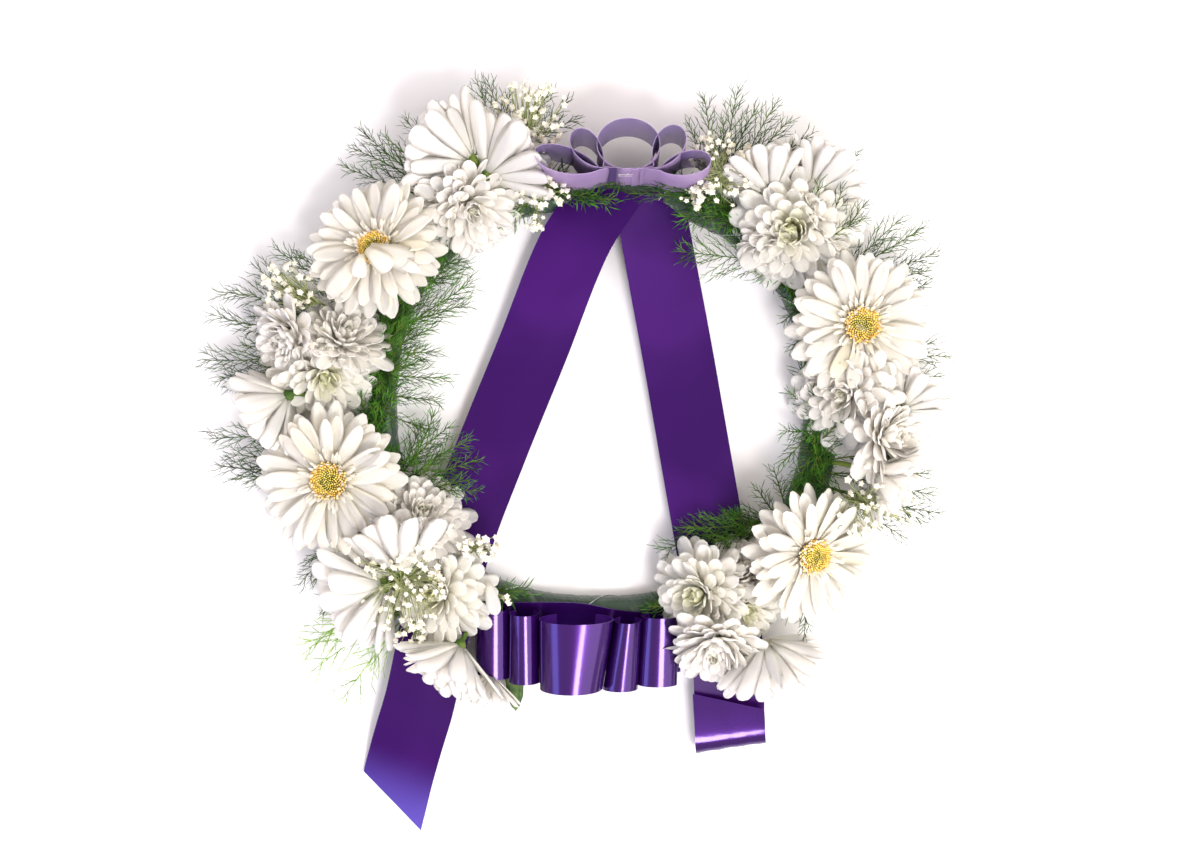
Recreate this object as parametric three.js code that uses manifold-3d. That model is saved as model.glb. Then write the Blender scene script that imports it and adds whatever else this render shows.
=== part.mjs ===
// Memorial wreath: a film-wrapped ring dressed with gerberas, chrysanthemums, baby's breath and
// asparagus fern, with a looped ribbon bow and two tails at the top and a second bow at the bottom.
// Millimetres, +Z up, lying face up. Places are given as an angle and a reach about the ring's middle,
// with +Y towards the top bow.
import * as THREE from 'three';
import { mergeVertices } from 'three/addons/utils/BufferGeometryUtils.js';
import Module from 'manifold-3d';

const wasm = await Module();
wasm.setup();

// ---- driving dimensions ----
const gap = 0.35; // left between pieces that touch
const ring = { halfWide: 157, halfTall: 150, squareness: 2.3, band: 26, height: 18, film: 0.9, slices: 32 };
const ribbon = { width: 50, thickness: 0.9 };
const stemRadius = 2.2;
const tableClearance = 2.5; // the lowest petals stay this far above the table

const colours = {
  moss: 0x4a4530, film: 0x56685a, ribbon: 0x4a1c86, ribbonBack: 0x9a7cc0, steel: 0xc9ccd2,
  petal: 0xf4f1ea, creamPetal: 0xf3ecdb, disc: 0xd9a72c, leaf: 0x3f6b2c, fern: 0x2f5e2a, limeFern: 0x86b052,
  breath: 0xece8da,
};

// ---- small helpers ----
const radians = THREE.MathUtils.degToRad;
const up = new THREE.Vector3(0, 0, 1);

function polar(angle, reach, height) {
  const a = radians(angle);
  return new THREE.Vector3(reach * Math.cos(a), reach * Math.sin(a), height);
}

function directionOf(heading, lean) {
  const side = Math.sin(radians(lean));
  const a = radians(heading);
  return new THREE.Vector3(side * Math.cos(a), side * Math.sin(a), Math.cos(radians(lean)));
}

// Half the way from the ring's middle to its band: an oval with slightly square shoulders.
function ringReach(angle) {
  const a = radians(angle);
  const wide = Math.abs(Math.cos(a) / ring.halfWide) ** ring.squareness;
  const tall = Math.abs(Math.sin(a) / ring.halfTall) ** ring.squareness;
  return (wide + tall) ** (-1 / ring.squareness);
}

function toSolid(geometry) {
  const bare = new THREE.BufferGeometry();
  bare.setAttribute('position', geometry.getAttribute('position'));
  if (geometry.index) bare.setIndex(geometry.index);
  const merged = mergeVertices(bare, 1e-4);
  const corners = merged.index.array;
  const kept = [];
  for (let i = 0; i < corners.length; i += 3) {
    const [a, b, c] = corners.subarray(i, i + 3);
    if (a !== b && b !== c && c !== a) kept.push(a, b, c);
  }
  return new wasm.Manifold(new wasm.Mesh({
    numProp: 3,
    vertProperties: new Float32Array(merged.getAttribute('position').array),
    triVerts: new Uint32Array(kept),
  }));
}

function toGeometry(solid) {
  const mesh = solid.getMesh();
  const geometry = new THREE.BufferGeometry();
  geometry.setAttribute('position', new THREE.BufferAttribute(mesh.vertProperties, 3));
  geometry.setIndex(new THREE.BufferAttribute(mesh.triVerts, 1));
  return geometry;
}

function joined(solids) {
  return solids.reduce((whole, solid) => whole.add(solid));
}

// Keeps the main body of a cut solid, without the slivers that a cut leaves.
function largestBody(solid) {
  const bodies = solid.simplify(0.1).decompose();
  return bodies.reduce((best, body) => (body.volume() > best.volume() ? body : best));
}

// A straight rod between two points, tapered when the radii differ. It runs a little past both, so
// that rods which follow each other join.
function rod(start, end, startRadius, endRadius, sides) {
  const along = end.clone().sub(start);
  const length = along.length();
  const geometry = new THREE.CylinderGeometry(endRadius, startRadius, length + 0.8, sides);
  geometry.translate(0, length / 2, 0);
  const turn = new THREE.Quaternion().setFromUnitVectors(new THREE.Vector3(0, 1, 0), along.normalize());
  geometry.applyQuaternion(turn);
  geometry.translate(start.x, start.y, start.z);
  return toSolid(geometry);
}

// A ribbon of even width: a flat box whose slices are moved onto a curve.
// acrossAt gives the direction of the width; endCut slants the far end by that much over the width.
function strip(curve, slices, acrossAt, { grow = 0, width = ribbon.width, endCut = 0 } = {}) {
  const thickness = ribbon.thickness + 2 * grow;
  const box = new THREE.BoxGeometry(width + 2 * grow, thickness, 1, 1, 1, slices);
  const length = curve.getLength();
  const spots = box.getAttribute('position');
  for (let i = 0; i < spots.count; i++) {
    const side = spots.getX(i);
    const cut = 1 - Math.abs(endCut) / length * (0.5 - Math.sign(endCut) * side / width);
    const along = (spots.getZ(i) + 0.5) * Math.min(cut, 1);
    const tangent = curve.getTangentAt(along);
    const across = acrossAt(along);
    const normal = tangent.clone().cross(across).normalize();
    const point = curve.getPointAt(along);
    point.addScaledVector(across, side).addScaledVector(normal, spots.getY(i));
    spots.setXYZ(i, point.x, point.y, point.z);
  }
  return toSolid(box);
}

// ---- ring ----
// The band is flat underneath and rounded on top. Points go round the section from the inner side.
function bandSection(inset) {
  const half = ring.band / 2 - inset;
  const top = ring.height - inset;
  const shoulder = 6;
  return [
    [-half, inset + 4], [-half + 3, inset], [half - 3, inset], [half, inset + 4],
    [half - 1, top - shoulder], [half - 7, top], [-half + 7, top], [-half + 1, top - shoulder],
  ];
}

// Sweeps a closed section round the oval: a lathe at the mean reach, eased out to the oval.
function sweptRing(section) {
  const profile = section.map(([across, height]) => new THREE.Vector2(ring.halfTall + across, height));
  profile.push(profile[0].clone());
  const geometry = new THREE.LatheGeometry(profile, ring.slices);
  geometry.rotateX(Math.PI / 2);
  const spots = geometry.getAttribute('position');
  for (let i = 0; i < spots.count; i++) {
    const x = spots.getX(i);
    const y = spots.getY(i);
    const reach = Math.hypot(x, y);
    const eased = 1 + (ringReach(THREE.MathUtils.radToDeg(Math.atan2(y, x))) - ring.halfTall) / reach;
    spots.setXYZ(i, x * eased, y * eased, spots.getZ(i));
  }
  return toSolid(geometry);
}

// The film's free edge laps on the inner wall, which leaves a thin open seam there.
function filmSection() {
  const outer = bandSection(0);
  const inner = bandSection(ring.film);
  const seamTop = [-ring.band / 2 + 0.7, 9.5];
  const seamBottom = [-ring.band / 2 + 0.55, 8.3];
  const film = ring.film;
  return [
    seamBottom, ...outer, seamTop,
    [seamTop[0] + film, seamTop[1]], ...inner.toReversed(), [seamBottom[0] + film, seamBottom[1]],
  ];
}

const pieces = []; // { name, solid, keepOut } in the order that they take the room
const ringKeepOut = sweptRing(bandSection(-gap));

function overlaps(a, b) {
  const p = a.boundingBox();
  const q = b.boundingBox();
  return [0, 1, 2].every((k) => p.min[k] < q.max[k] && q.min[k] < p.max[k]);
}

function cutBack(solid, keepOuts) {
  const near = keepOuts.filter((other) => overlaps(solid, other));
  return near.reduce((rest, other) => rest.subtract(other), solid);
}

// Cuts a new piece back from everything already placed, and keeps its main body.
function place(name, colour, solid, keepOut, finish = {}) {
  const cut = cutBack(solid, pieces.map((p) => p.keepOut));
  pieces.push({ name, colour, solid: largestBody(cut), keepOut, ...finish });
}

pieces.push({ name: 'ring_wrap', colour: colours.film, roughness: 0.4, keepOut: ringKeepOut,
  solid: sweptRing(filmSection()) });
pieces.push({ name: 'ring_core', colour: colours.moss, roughness: 0.95, keepOut: ringKeepOut,
  solid: sweptRing(bandSection(ring.film + gap)) });

// ---- ribbon tails ----
const points = (list) => list.map(([x, y, z]) => new THREE.Vector3(x, y, z));

// The width direction of a tail, rolled near the knot so that the inner edge stands up.
function tailAcross(heading, roll, fade) {
  const level = new THREE.Vector3(Math.cos(radians(heading)), Math.sin(radians(heading)), 0);
  return (along) => {
    const lift = radians(roll) * Math.max(0, 1 - along / fade) ** 2;
    return level.clone().multiplyScalar(Math.cos(lift)).addScaledVector(up, Math.sin(lift));
  };
}

const leftTail = {
  curve: new THREE.CatmullRomCurve3(points([
    [8, 150, 23], [-17.5, 112.7, 20], [-47.6, 37.8, 15.5], [-77.7, -36.4, 15], [-101.5, -100, 18],
    [-116, -158, 19.4], [-126.7, -209, 15], [-138, -248, 7.5], [-147, -280, 2], [-151, -296, 1.2],
  ])),
  across: tailAcross(-20, 16, 0.3), slices: 20, endCut: 26,
};
const rightTail = {
  curve: new THREE.CatmullRomCurve3(points([
    [34, 147, 19.8], [41, 108, 18], [55, 33, 14.5], [69, -47, 15], [81, -116, 18.4], [89, -163, 19],
    [91.3, -203, 13], [92, -228, 5.5], [92.6, -240, 4.2], [92.9, -245, 11.5], [92, -240, 18.5],
    [91.5, -228, 20.5], [90, -202, 23],
  ])),
  across: tailAcross(8, -14, 0.3), slices: 28, endCut: -18,
};

// ---- top bow: loops standing on edge, fanned out from a short knot ----
const topBow = { height: 46.8, tilt: 7, knotY: 155 };
const bowAcross = new THREE.Vector3(0, Math.sin(radians(topBow.tilt)), Math.cos(radians(topBow.tilt)));

function bowPoint(x, y) {
  const away = y - topBow.knotY;
  return new THREE.Vector3(x, y, topBow.height - away * Math.tan(radians(topBow.tilt)));
}

// A teardrop loop that leaves the knot and comes back to it.
function teardrop(pinchX, pinchY, heading, length, breadth) {
  const list = [];
  const steps = 11;
  const away = radians(heading);
  for (let i = 0; i <= steps; i++) {
    const turn = 2 * Math.PI * (0.035 + 0.93 * i / steps);
    const out = length * (1 - Math.cos(turn)) / 2;
    const side = -breadth / 2 * Math.sin(turn) * Math.sqrt(Math.sin(turn / 2)) * 1.12;
    const x = pinchX + out * Math.cos(away) - side * Math.sin(away);
    const y = pinchY + out * Math.sin(away) + side * Math.cos(away);
    list.push(bowPoint(x, y));
  }
  return new THREE.CatmullRomCurve3(list);
}

function roundLoop(centreX, centreY, halfWide, halfTall) {
  const list = [];
  const steps = 14;
  for (let i = 0; i <= steps; i++) {
    const turn = radians(-84 + 348 * i / steps);
    list.push(bowPoint(centreX + halfWide * Math.cos(turn), centreY + halfTall * Math.sin(turn)));
  }
  return new THREE.CatmullRomCurve3(list);
}

const straight = (a, b) => new THREE.LineCurve3(a, b);
const shy = 0.8; // a ribbon that lies on another is this much narrower
const knotStrip = straight(bowPoint(-1, topBow.knotY), bowPoint(41, topBow.knotY));
const bowLoops = [
  { curve: knotStrip, slices: 1, width: ribbon.width - shy },
  { curve: roundLoop(19.6, topBow.knotY + 17.8, 21.5, 17.8), slices: 16 },
  { curve: teardrop(1.5, topBow.knotY + 1.5, 122, 42, 20), slices: 10 },
  { curve: teardrop(-0.5, topBow.knotY, 157, 50, 21), slices: 10 },
  { curve: teardrop(37.5, topBow.knotY + 1.5, 53, 44, 22), slices: 10 },
  { curve: teardrop(40.5, topBow.knotY, 20, 40, 18), slices: 10 },
];
const topBowSolid = (grow) => joined(bowLoops.map((l) => {
  return strip(l.curve, l.slices, () => bowAcross.clone(), { grow, width: l.width });
}));
place('top_bow', colours.ribbonBack, topBowSolid(0), topBowSolid(gap), { roughness: 0.35 });

// Two staples close the centre loop, across its outer face above the knot.
const staple = { halfWide: 4.5, radius: 0.35, x: 17.5, drops: [9, 14] };
for (const [i, drop] of staple.drops.entries()) {
  const seat = bowPoint(staple.x, topBow.knotY).addScaledVector(bowAcross, ribbon.width / 2 - drop);
  seat.y -= ribbon.thickness / 2 + 1.2 * gap + staple.radius;
  const crown = (grow) => {
    const left = seat.clone().setX(staple.x - staple.halfWide - grow);
    const right = seat.clone().setX(staple.x + staple.halfWide + grow);
    return rod(left, right, staple.radius + grow, staple.radius + grow, 6);
  };
  place(`bow_staple_${i + 1}`, colours.steel, crown(0), crown(gap), { roughness: 0.25, metalness: 1 });
}

for (const [name, tail] of [['left_tail', leftTail], ['right_tail', rightTail]]) {
  const solid = strip(tail.curve, tail.slices, tail.across, { endCut: tail.endCut });
  const keepOut = strip(tail.curve, tail.slices, tail.across, { endCut: tail.endCut, grow: gap });
  place(name, colours.ribbon, solid, keepOut, { roughness: 0.35 });
}

// ---- bottom bow: a flat band with five raised loops, tipped over the ring's outer edge ----
const bottomBow = { left: -88, right: 57, backY: -143, backZ: 23.2, tip: 22 };
const tipOver = new THREE.Euler(radians(bottomBow.tip), 0, 0);
const bottomAcross = new THREE.Vector3(0, -1, 0).applyEuler(tipOver);
const bottomOut = new THREE.Vector3(0, 0, 1).applyEuler(tipOver);
const bottomLoops = [
  { left: -87, right: -64, height: 15 },
  { left: -64, right: -43, height: 21 },
  { left: -43, right: 9, height: 33 },
  { left: 9, right: 30, height: 21 },
  { left: 30, right: 56, height: 17 },
];

function bottomPoint(x, height) {
  const middle = new THREE.Vector3(x, bottomBow.backY, bottomBow.backZ);
  return middle.addScaledVector(bottomAcross, ribbon.width / 2).addScaledVector(bottomOut, height);
}

function archCurve({ left, right, height }) {
  const wide = right - left;
  const shape = [[0.12, 0], [0.07, 0.3], [0.06, 0.66], [0.2, 0.93], [0.5, 1], [0.8, 0.93], [0.94, 0.66],
    [0.93, 0.3], [0.88, 0]];
  return new THREE.CatmullRomCurve3(shape.map(([u, v]) => bottomPoint(left + u * wide, v * height)));
}

function bottomBowSolid(grow) {
  const band = straight(bottomPoint(bottomBow.left, 0), bottomPoint(bottomBow.right, 0));
  const steady = () => bottomAcross.clone();
  const arches = bottomLoops.map((loop) => {
    return strip(archCurve(loop), 10, steady, { grow, width: ribbon.width - shy });
  });
  return joined([strip(band, 1, steady, { grow }), ...arches]);
}
place('bottom_bow', colours.ribbon, bottomBowSolid(0), bottomBowSolid(gap), { roughness: 0.3 });

// ---- leaf ----
const flatPoints = (list) => list.map((p) => new THREE.Vector2(...p));
const leftEdge = flatPoints([[-6, 28], [-7.5, 38], [-5.5, 47], [-4.5, 56], [0, 66]]);
const rightEdge = flatPoints([[5, 55], [6, 46], [7.5, 36], [5.5, 27], [1.4, 22]]);

function leafSolid(grow) {
  const outline = new THREE.Shape();
  outline.moveTo(-1.2, 0);
  outline.lineTo(-1.4, 22);
  outline.splineThru(leftEdge);
  outline.splineThru(rightEdge);
  outline.lineTo(1.2, 0);
  const depth = 0.9 + 2 * grow;
  const flat = new THREE.ExtrudeGeometry(outline, { depth, bevelEnabled: false, curveSegments: 2 });
  flat.translate(0, 0, -depth / 2);
  flat.scale(1 + grow / 7, 1 + grow / 60, 1);
  flat.rotateX(radians(-5));
  flat.rotateZ(radians(182));
  flat.translate(-62, -153, 10);
  return toSolid(flat);
}
place('chrysanthemum_leaf', colours.leaf, leafSolid(0), leafSolid(gap), { roughness: 0.6 });

// ---- plants ----
// A plant piece has a stalk, which keeps its room before any flower head, and what the stalk carries.
const plants = [];

// Turns a profile about +Z, scallops its rim into petals, leans it and carries it to its place.
function bloom(profile, segments, petals, notch, flower) {
  const rim = Math.max(...profile.map((p) => p[0]));
  const geometry = new THREE.LatheGeometry(flatPoints(profile), segments);
  geometry.rotateX(Math.PI / 2);
  const spots = geometry.getAttribute('position');
  for (let i = 0; i < spots.count; i++) {
    const x = spots.getX(i);
    const y = spots.getY(i);
    const weight = Math.max(0, Math.hypot(x, y) / rim - 0.5) * 2;
    const wave = 0.5 - 0.5 * Math.cos(petals * Math.atan2(y, x));
    const scale = 1 - notch * wave * weight;
    spots.setXYZ(i, x * scale, y * scale, spots.getZ(i));
  }
  const facing = directionOf(flower.leanTo, flower.lean);
  geometry.applyQuaternion(new THREE.Quaternion().setFromUnitVectors(up, facing));
  geometry.translate(flower.heart.x, flower.heart.y, flower.heart.z);
  return toSolid(geometry);
}

// The stem runs from under the head into the ring.
function stem(flower, grow) {
  const facing = directionOf(flower.leanTo, flower.lean);
  const calyx = flower.heart.clone().addScaledVector(facing, -flower.depth);
  const foot = polar(flower.angle, ringReach(flower.angle), ring.height / 2);
  return rod(calyx, foot, stemRadius + grow, stemRadius + grow, 5);
}

// A head stands on the ring by its seat, or higher where its rim would touch the table.
function heartOf({ angle, reach, size, lean }, seat) {
  const clear = size / 2 * Math.sin(radians(lean)) + tableClearance;
  return polar(angle, reach, Math.max(ring.height + seat, clear));
}

const gerberas = [
  { name: 'upper_left', angle: 147, reach: 194, size: 92, leanTo: 140, lean: 14 },
  { name: 'lower_left', angle: 196, reach: 198, size: 104, leanTo: 200, lean: 8 },
  { name: 'upper_right', angle: 16.5, reach: 188, size: 102, leanTo: 330, lean: 8 },
  { name: 'lower_right', angle: 324.5, reach: 185, size: 100, leanTo: 335, lean: 28 },
];
for (const flower of gerberas) {
  const r = flower.size / 2;
  flower.heart = heartOf(flower, 30);
  flower.depth = 0.28 * r;
  const headProfile = (g) => [[0, -0.31 * r - g], [0.2 * r + g, -0.25 * r - g],
    [r + g, -0.02 * r - 1.1 - g], [r + g, -0.02 * r + 0.5 + g], [0, g]];
  const discProfile = (g) => [[0, 0.5 - g], [0.225 * r + g, 0.5 - g], [0.23 * r + g, 0.06 * r],
    [0.14 * r + g, 0.11 * r + g], [0, 0.1 * r + g]];
  plants.push({
    name: `gerbera_disc_${flower.name}`, colour: colours.disc, roughness: 0.8,
    carried: (grow) => bloom(discProfile(grow), 12, 0, 0, flower),
  }, {
    name: `gerbera_${flower.name}`, colour: colours.creamPetal, roughness: 0.6,
    stalk: (grow) => stem(flower, grow),
    carried: (grow) => (grow ? bloom(headProfile(grow), 20, 0, 0, flower)
      : bloom(headProfile(0), 40, 20, 0.2, flower)),
  });
}

const chrysanthemums = [
  { angle: 123, reach: 169, size: 56, leanTo: 300, lean: 22 },
  { angle: 121, reach: 207, size: 60, leanTo: 150, lean: 72 },
  { angle: 110.5, reach: 183, size: 60, leanTo: 45, lean: 68 },
  { angle: 170, reach: 231, size: 50, leanTo: 200, lean: 50 },
  { angle: 163.5, reach: 181, size: 50, leanTo: 60, lean: 45 },
  { angle: 174, reach: 193, size: 56, leanTo: 300, lean: 22 },
  { angle: 181.5, reach: 231, size: 52, leanTo: 215, lean: 62 },
  { angle: 212, reach: 145, size: 56, leanTo: 60, lean: 35 },
  { angle: 216, reach: 173, size: 56, leanTo: 150, lean: 62 },
  { angle: 218.5, reach: 216, size: 62, leanTo: 200, lean: 62 },
  { angle: 232, reach: 168, size: 66, leanTo: 345, lean: 35 },
  { angle: 240, reach: 214, size: 55, leanTo: 240, lean: 58 },
  { angle: 248.5, reach: 216, size: 40, leanTo: 270, lean: 62 },
  { angle: 54, reach: 198, size: 48, leanTo: 100, lean: 65 },
  { angle: 46, reach: 222, size: 50, leanTo: 60, lean: 68 },
  { angle: 45, reach: 178, size: 66, leanTo: 220, lean: 18 },
  { angle: 38.5, reach: 213, size: 46, leanTo: 30, lean: 50 },
  { angle: 40, reach: 153, size: 40, leanTo: 240, lean: 50 },
  { angle: 1.5, reach: 170, size: 62, leanTo: 200, lean: 28 },
  { angle: 2, reach: 217, size: 42, leanTo: 60, lean: 68 },
  { angle: 353, reach: 210, size: 58, leanTo: 0, lean: 42 },
  { angle: 344.5, reach: 213, size: 50, leanTo: 330, lean: 58 },
  { angle: 296.5, reach: 151, size: 56, leanTo: 200, lean: 32 },
  { angle: 311, reach: 150, size: 46, leanTo: 100, lean: 38 },
  { angle: 305, reach: 176, size: 44, leanTo: 320, lean: 28 },
  { angle: 294, reach: 196, size: 52, leanTo: 260, lean: 48 },
  { angle: 303.5, reach: 221, size: 56, leanTo: 290, lean: 62 },
];
for (const [i, flower] of chrysanthemums.entries()) {
  const r = flower.size / 2;
  flower.heart = heartOf(flower, 0.62 * r);
  flower.depth = 0.5 * r;
  const profile = [[0, -0.58 * r], [0.3 * r, -0.5 * r], [r, -0.04 * r],
    [0.76 * r, 0.36 * r], [0, 0.54 * r]];
  const hull = (g) => [[0, -0.62 * r - g], [0.38 * r + g, -0.54 * r - g], [1.09 * r + g, -0.04 * r],
    [0.84 * r + g, 0.4 * r + g], [0, 0.6 * r + g]];
  plants.push({
    name: `chrysanthemum_${String(i + 1).padStart(2, '0')}`, colour: colours.petal, roughness: 0.7,
    stalk: (grow) => stem(flower, grow),
    carried: (grow) => (grow ? bloom(hull(grow), 8, 0, 0, flower) : bloom(profile, 16, 8, 0.14, flower)),
  });
}

// A spray forks just beside the ring, outside or inside it, and its root goes on into the ring.
function footOf(angle, side) {
  return polar(angle, ringReach(angle) + side * (ring.band / 2 + 2.5), ring.height / 2);
}

function root(foot, angle, grow) {
  return rod(polar(angle, ringReach(angle), ring.height / 2), foot, 1.3 + grow, 1.3 + grow, 4);
}

// Baby's breath: thin stalks, each with a crown of small round florets on its own thin stems.
const goldenAngle = 137.5;

function florets(crown, fork, spread, count, grow) {
  const solids = [];
  for (let i = 0; i < count; i++) {
    const turn = radians(goldenAngle * i);
    const out = spread * Math.sqrt((i + 0.5) / count);
    const step = (i % 3) * 3 - 3;
    const spot = crown.clone().add(new THREE.Vector3(out * Math.cos(turn), out * Math.sin(turn), step));
    const ball = new THREE.OctahedronGeometry(3.4 + grow, 0);
    ball.translate(spot.x, spot.y, spot.z);
    solids.push(rod(fork, spot, 0.7 + grow, 0, 3), toSolid(ball));
  }
  return joined(solids);
}

// Each spray leaves the ring outwards (side 1) or inwards (side -1), and has a list of crowns: angle,
// reach, height, spread, florets.
const breathSprays = [
  { name: 'upper_left', angle: 107, side: 1, crowns: [[103.5, 203, 50, 22, 7]] },
  { name: 'left', angle: 160, side: 1, crowns: [[160, 231, 46, 18, 6]] },
  { name: 'lower_left', angle: 226, side: 1, crowns: [[222, 190, 64, 22, 6]] },
  { name: 'upper_right', angle: 64, side: 1, crowns: [[63, 182, 50, 22, 7]] },
  { name: 'right', angle: 340, side: 1, crowns: [[339, 204, 58, 20, 6]] },
];
for (const { name, angle, side, crowns } of breathSprays) {
  const foot = footOf(angle, side);
  const laid = crowns.map(([crownAngle, reach, height, spread, count]) => {
    const crown = polar(crownAngle, reach, height);
    const fork = foot.clone().lerp(crown, 0.8);
    return { crown, fork, spread, count };
  });
  const stalk = (grow) => laid.map(({ fork }) => rod(foot, fork, 0.9 + grow, 0.9 + grow, 3));
  plants.push({
    name: `babys_breath_${name}`, colour: colours.breath, roughness: 0.8,
    stalk: (grow) => joined([root(foot, angle, grow), ...stalk(grow)]),
    carried: (grow) => joined(laid.map((c) => florets(c.crown, c.fork, c.spread, c.count, grow))),
  });
}

// Asparagus fern: thin arched fronds, each a flat spine with pointed side twigs.
const frond = { twigs: 5, spread: 42, halfWide: 0.9, depth: 1.5, twigWide: 2, twigDepth: 1 };

// Bends a geometry that lies along +X onto the arch from foot to tip.
function archOver(foot, tip, geometry) {
  const length = lengthOf(foot, tip);
  const along = tip.clone().sub(foot).setZ(0).normalize();
  const aside = up.clone().cross(along);
  const middleHeight = Math.max(foot.z, 0.7 * tip.z);
  const spots = geometry.getAttribute('position');
  for (let i = 0; i < spots.count; i++) {
    const x = spots.getX(i);
    const t = THREE.MathUtils.clamp(x / length, 0, 1);
    const height = (1 - t) ** 2 * foot.z + 2 * t * (1 - t) * middleHeight + t ** 2 * tip.z;
    const point = foot.clone().addScaledVector(along, x).addScaledVector(aside, spots.getY(i));
    spots.setXYZ(i, point.x, point.y, height + spots.getZ(i));
  }
  return toSolid(geometry);
}

function lengthOf(foot, tip) {
  return Math.hypot(tip.x - foot.x, tip.y - foot.y);
}

// The spine is a flat box in three slices, half as wide at its tip.
function spine(foot, tip, grow) {
  const length = lengthOf(foot, tip);
  const start = -0.8 - grow;
  const end = length + grow;
  const box = new THREE.BoxGeometry(1, 2, frond.depth + 2 * grow, 3, 1, 1);
  const spots = box.getAttribute('position');
  for (let i = 0; i < spots.count; i++) {
    const x = start + (end - start) * (spots.getX(i) + 0.5);
    const halfWide = frond.halfWide * (1 - 0.5 * x / length) + grow;
    spots.setXYZ(i, x, halfWide * spots.getY(i), spots.getZ(i));
  }
  return archOver(foot, tip, box);
}

// Side twigs leave the spine by turns to the left and to the right, shorter towards the tip.
function sideTwigs(foot, tip, grow) {
  const length = lengthOf(foot, tip);
  const lean = radians(frond.spread);
  const depth = frond.twigDepth + 2 * grow;
  const solids = [];
  for (let i = 0; i < frond.twigs; i++) {
    const side = i % 2 ? -1 : 1;
    const along = 0.34 + 0.58 * i / frond.twigs;
    const reach = length * 0.36 * (1.15 - along) + grow;
    const x = along * length;
    const endX = x + reach * Math.cos(lean);
    const endY = side * reach * Math.sin(lean);
    const outline = [[x - grow, 0], [x + frond.twigWide + grow, 0],
      [endX + grow, endY], [endX - grow, endY]];
    if (side < 0) outline.reverse();
    const shape = new THREE.Shape(flatPoints(outline));
    const twig = new THREE.ExtrudeGeometry(shape, { depth, bevelEnabled: false });
    twig.translate(0, 0, -depth / 2);
    solids.push(archOver(foot, tip, twig));
  }
  return joined(solids);
}

// Each spray leaves the ring outwards or inwards, and has a list of frond tips: angle, reach, height.
const fernSprays = [
  { name: 'top_left', angle: 115, side: 1, tips: [[111, 240, 40], [96, 217, 34], [133, 248, 30]] },
  { name: 'left_outer', angle: 164, side: 1, tips: [[158, 262, 30], [166, 282, 22], [175, 280, 20]] },
  { name: 'left_inner', angle: 158, side: -1, tips: [[140, 128, 26], [152, 120, 24], [165, 128, 22]] },
  { name: 'lower_left_outer', angle: 194, side: 1, tips: [[186, 278, 18], [192, 262, 20], [209, 233, 16]] },
  { name: 'lower_left_inner', angle: 200, side: -1, tips: [[204, 92, 24], [189, 112, 28]] },
  { name: 'lime', angle: 224, side: 1, tips: [[219, 272, 10], [231, 282, 8]] },
  { name: 'top_right', angle: 58, side: 1, tips: [[70, 213, 44], [58, 222, 40], [44, 248, 36]] },
  { name: 'right_outer', angle: 22, side: 1, tips: [[22, 256, 34], [29, 250, 30], [7, 247, 26]] },
  { name: 'right_inner', angle: 350, side: -1, tips: [[355, 130, 30], [337, 134, 26]] },
  { name: 'lower_right_outer', angle: 338, side: 1, tips: [[343, 248, 30], [334, 232, 24]] },
  { name: 'lower_right_inner', angle: 322, side: -1, tips: [[322, 108, 32], [331, 126, 30]] },
];
for (const { name, angle, side, tips } of fernSprays) {
  const foot = footOf(angle, side);
  const ends = tips.map((tip) => polar(...tip));
  plants.push({
    name: `fern_${name}`, colour: name === 'lime' ? colours.limeFern : colours.fern, roughness: 0.7,
    stalk: (grow) => joined([root(foot, angle, grow), ...ends.map((end) => spine(foot, end, grow))]),
    carried: (grow) => joined(ends.map((end) => sideTwigs(foot, end, grow))),
  });
}

// Stalks take their room first, the thin ones before the stout ones, so that none is cut through.
const stalks = plants.filter((plant) => plant.stalk).toReversed();
for (const [i, plant] of stalks.entries()) {
  plant.fatStalk = plant.stalk(gap);
  const earlier = stalks.slice(0, i).map((p) => p.fatStalk);
  plant.ownStalk = cutBack(plant.stalk(0), [...pieces.map((p) => p.keepOut), ...earlier]);
}
for (const plant of plants) {
  const others = stalks.filter((p) => p !== plant).map((p) => p.fatStalk);
  const carried = cutBack(plant.carried(0), [...others, ...pieces.map((p) => p.keepOut)]);
  const whole = plant.ownStalk ? carried.add(plant.ownStalk) : carried;
  pieces.push({ ...plant, solid: largestBody(whole), keepOut: plant.carried(gap) });
}

// ---- the group, with its origin under the middle of the whole wreath ----
const wreath = new THREE.Group();
for (const piece of pieces) {
  const material = new THREE.MeshStandardMaterial({
    color: piece.colour, roughness: piece.roughness ?? 0.6, metalness: piece.metalness ?? 0,
  });
  const mesh = new THREE.Mesh(toGeometry(piece.solid), material);
  mesh.name = piece.name;
  wreath.add(mesh);
}
const extent = new THREE.Box3().setFromObject(wreath, true);
const middle = extent.getCenter(new THREE.Vector3());
wreath.position.set(-middle.x, -middle.y, -extent.min.z);

export default wreath;
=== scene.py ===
import random
from math import copysign, cos, hypot, pi, radians, sin, sqrt, tan

import bpy
from mathutils import Matrix, Vector


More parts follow.
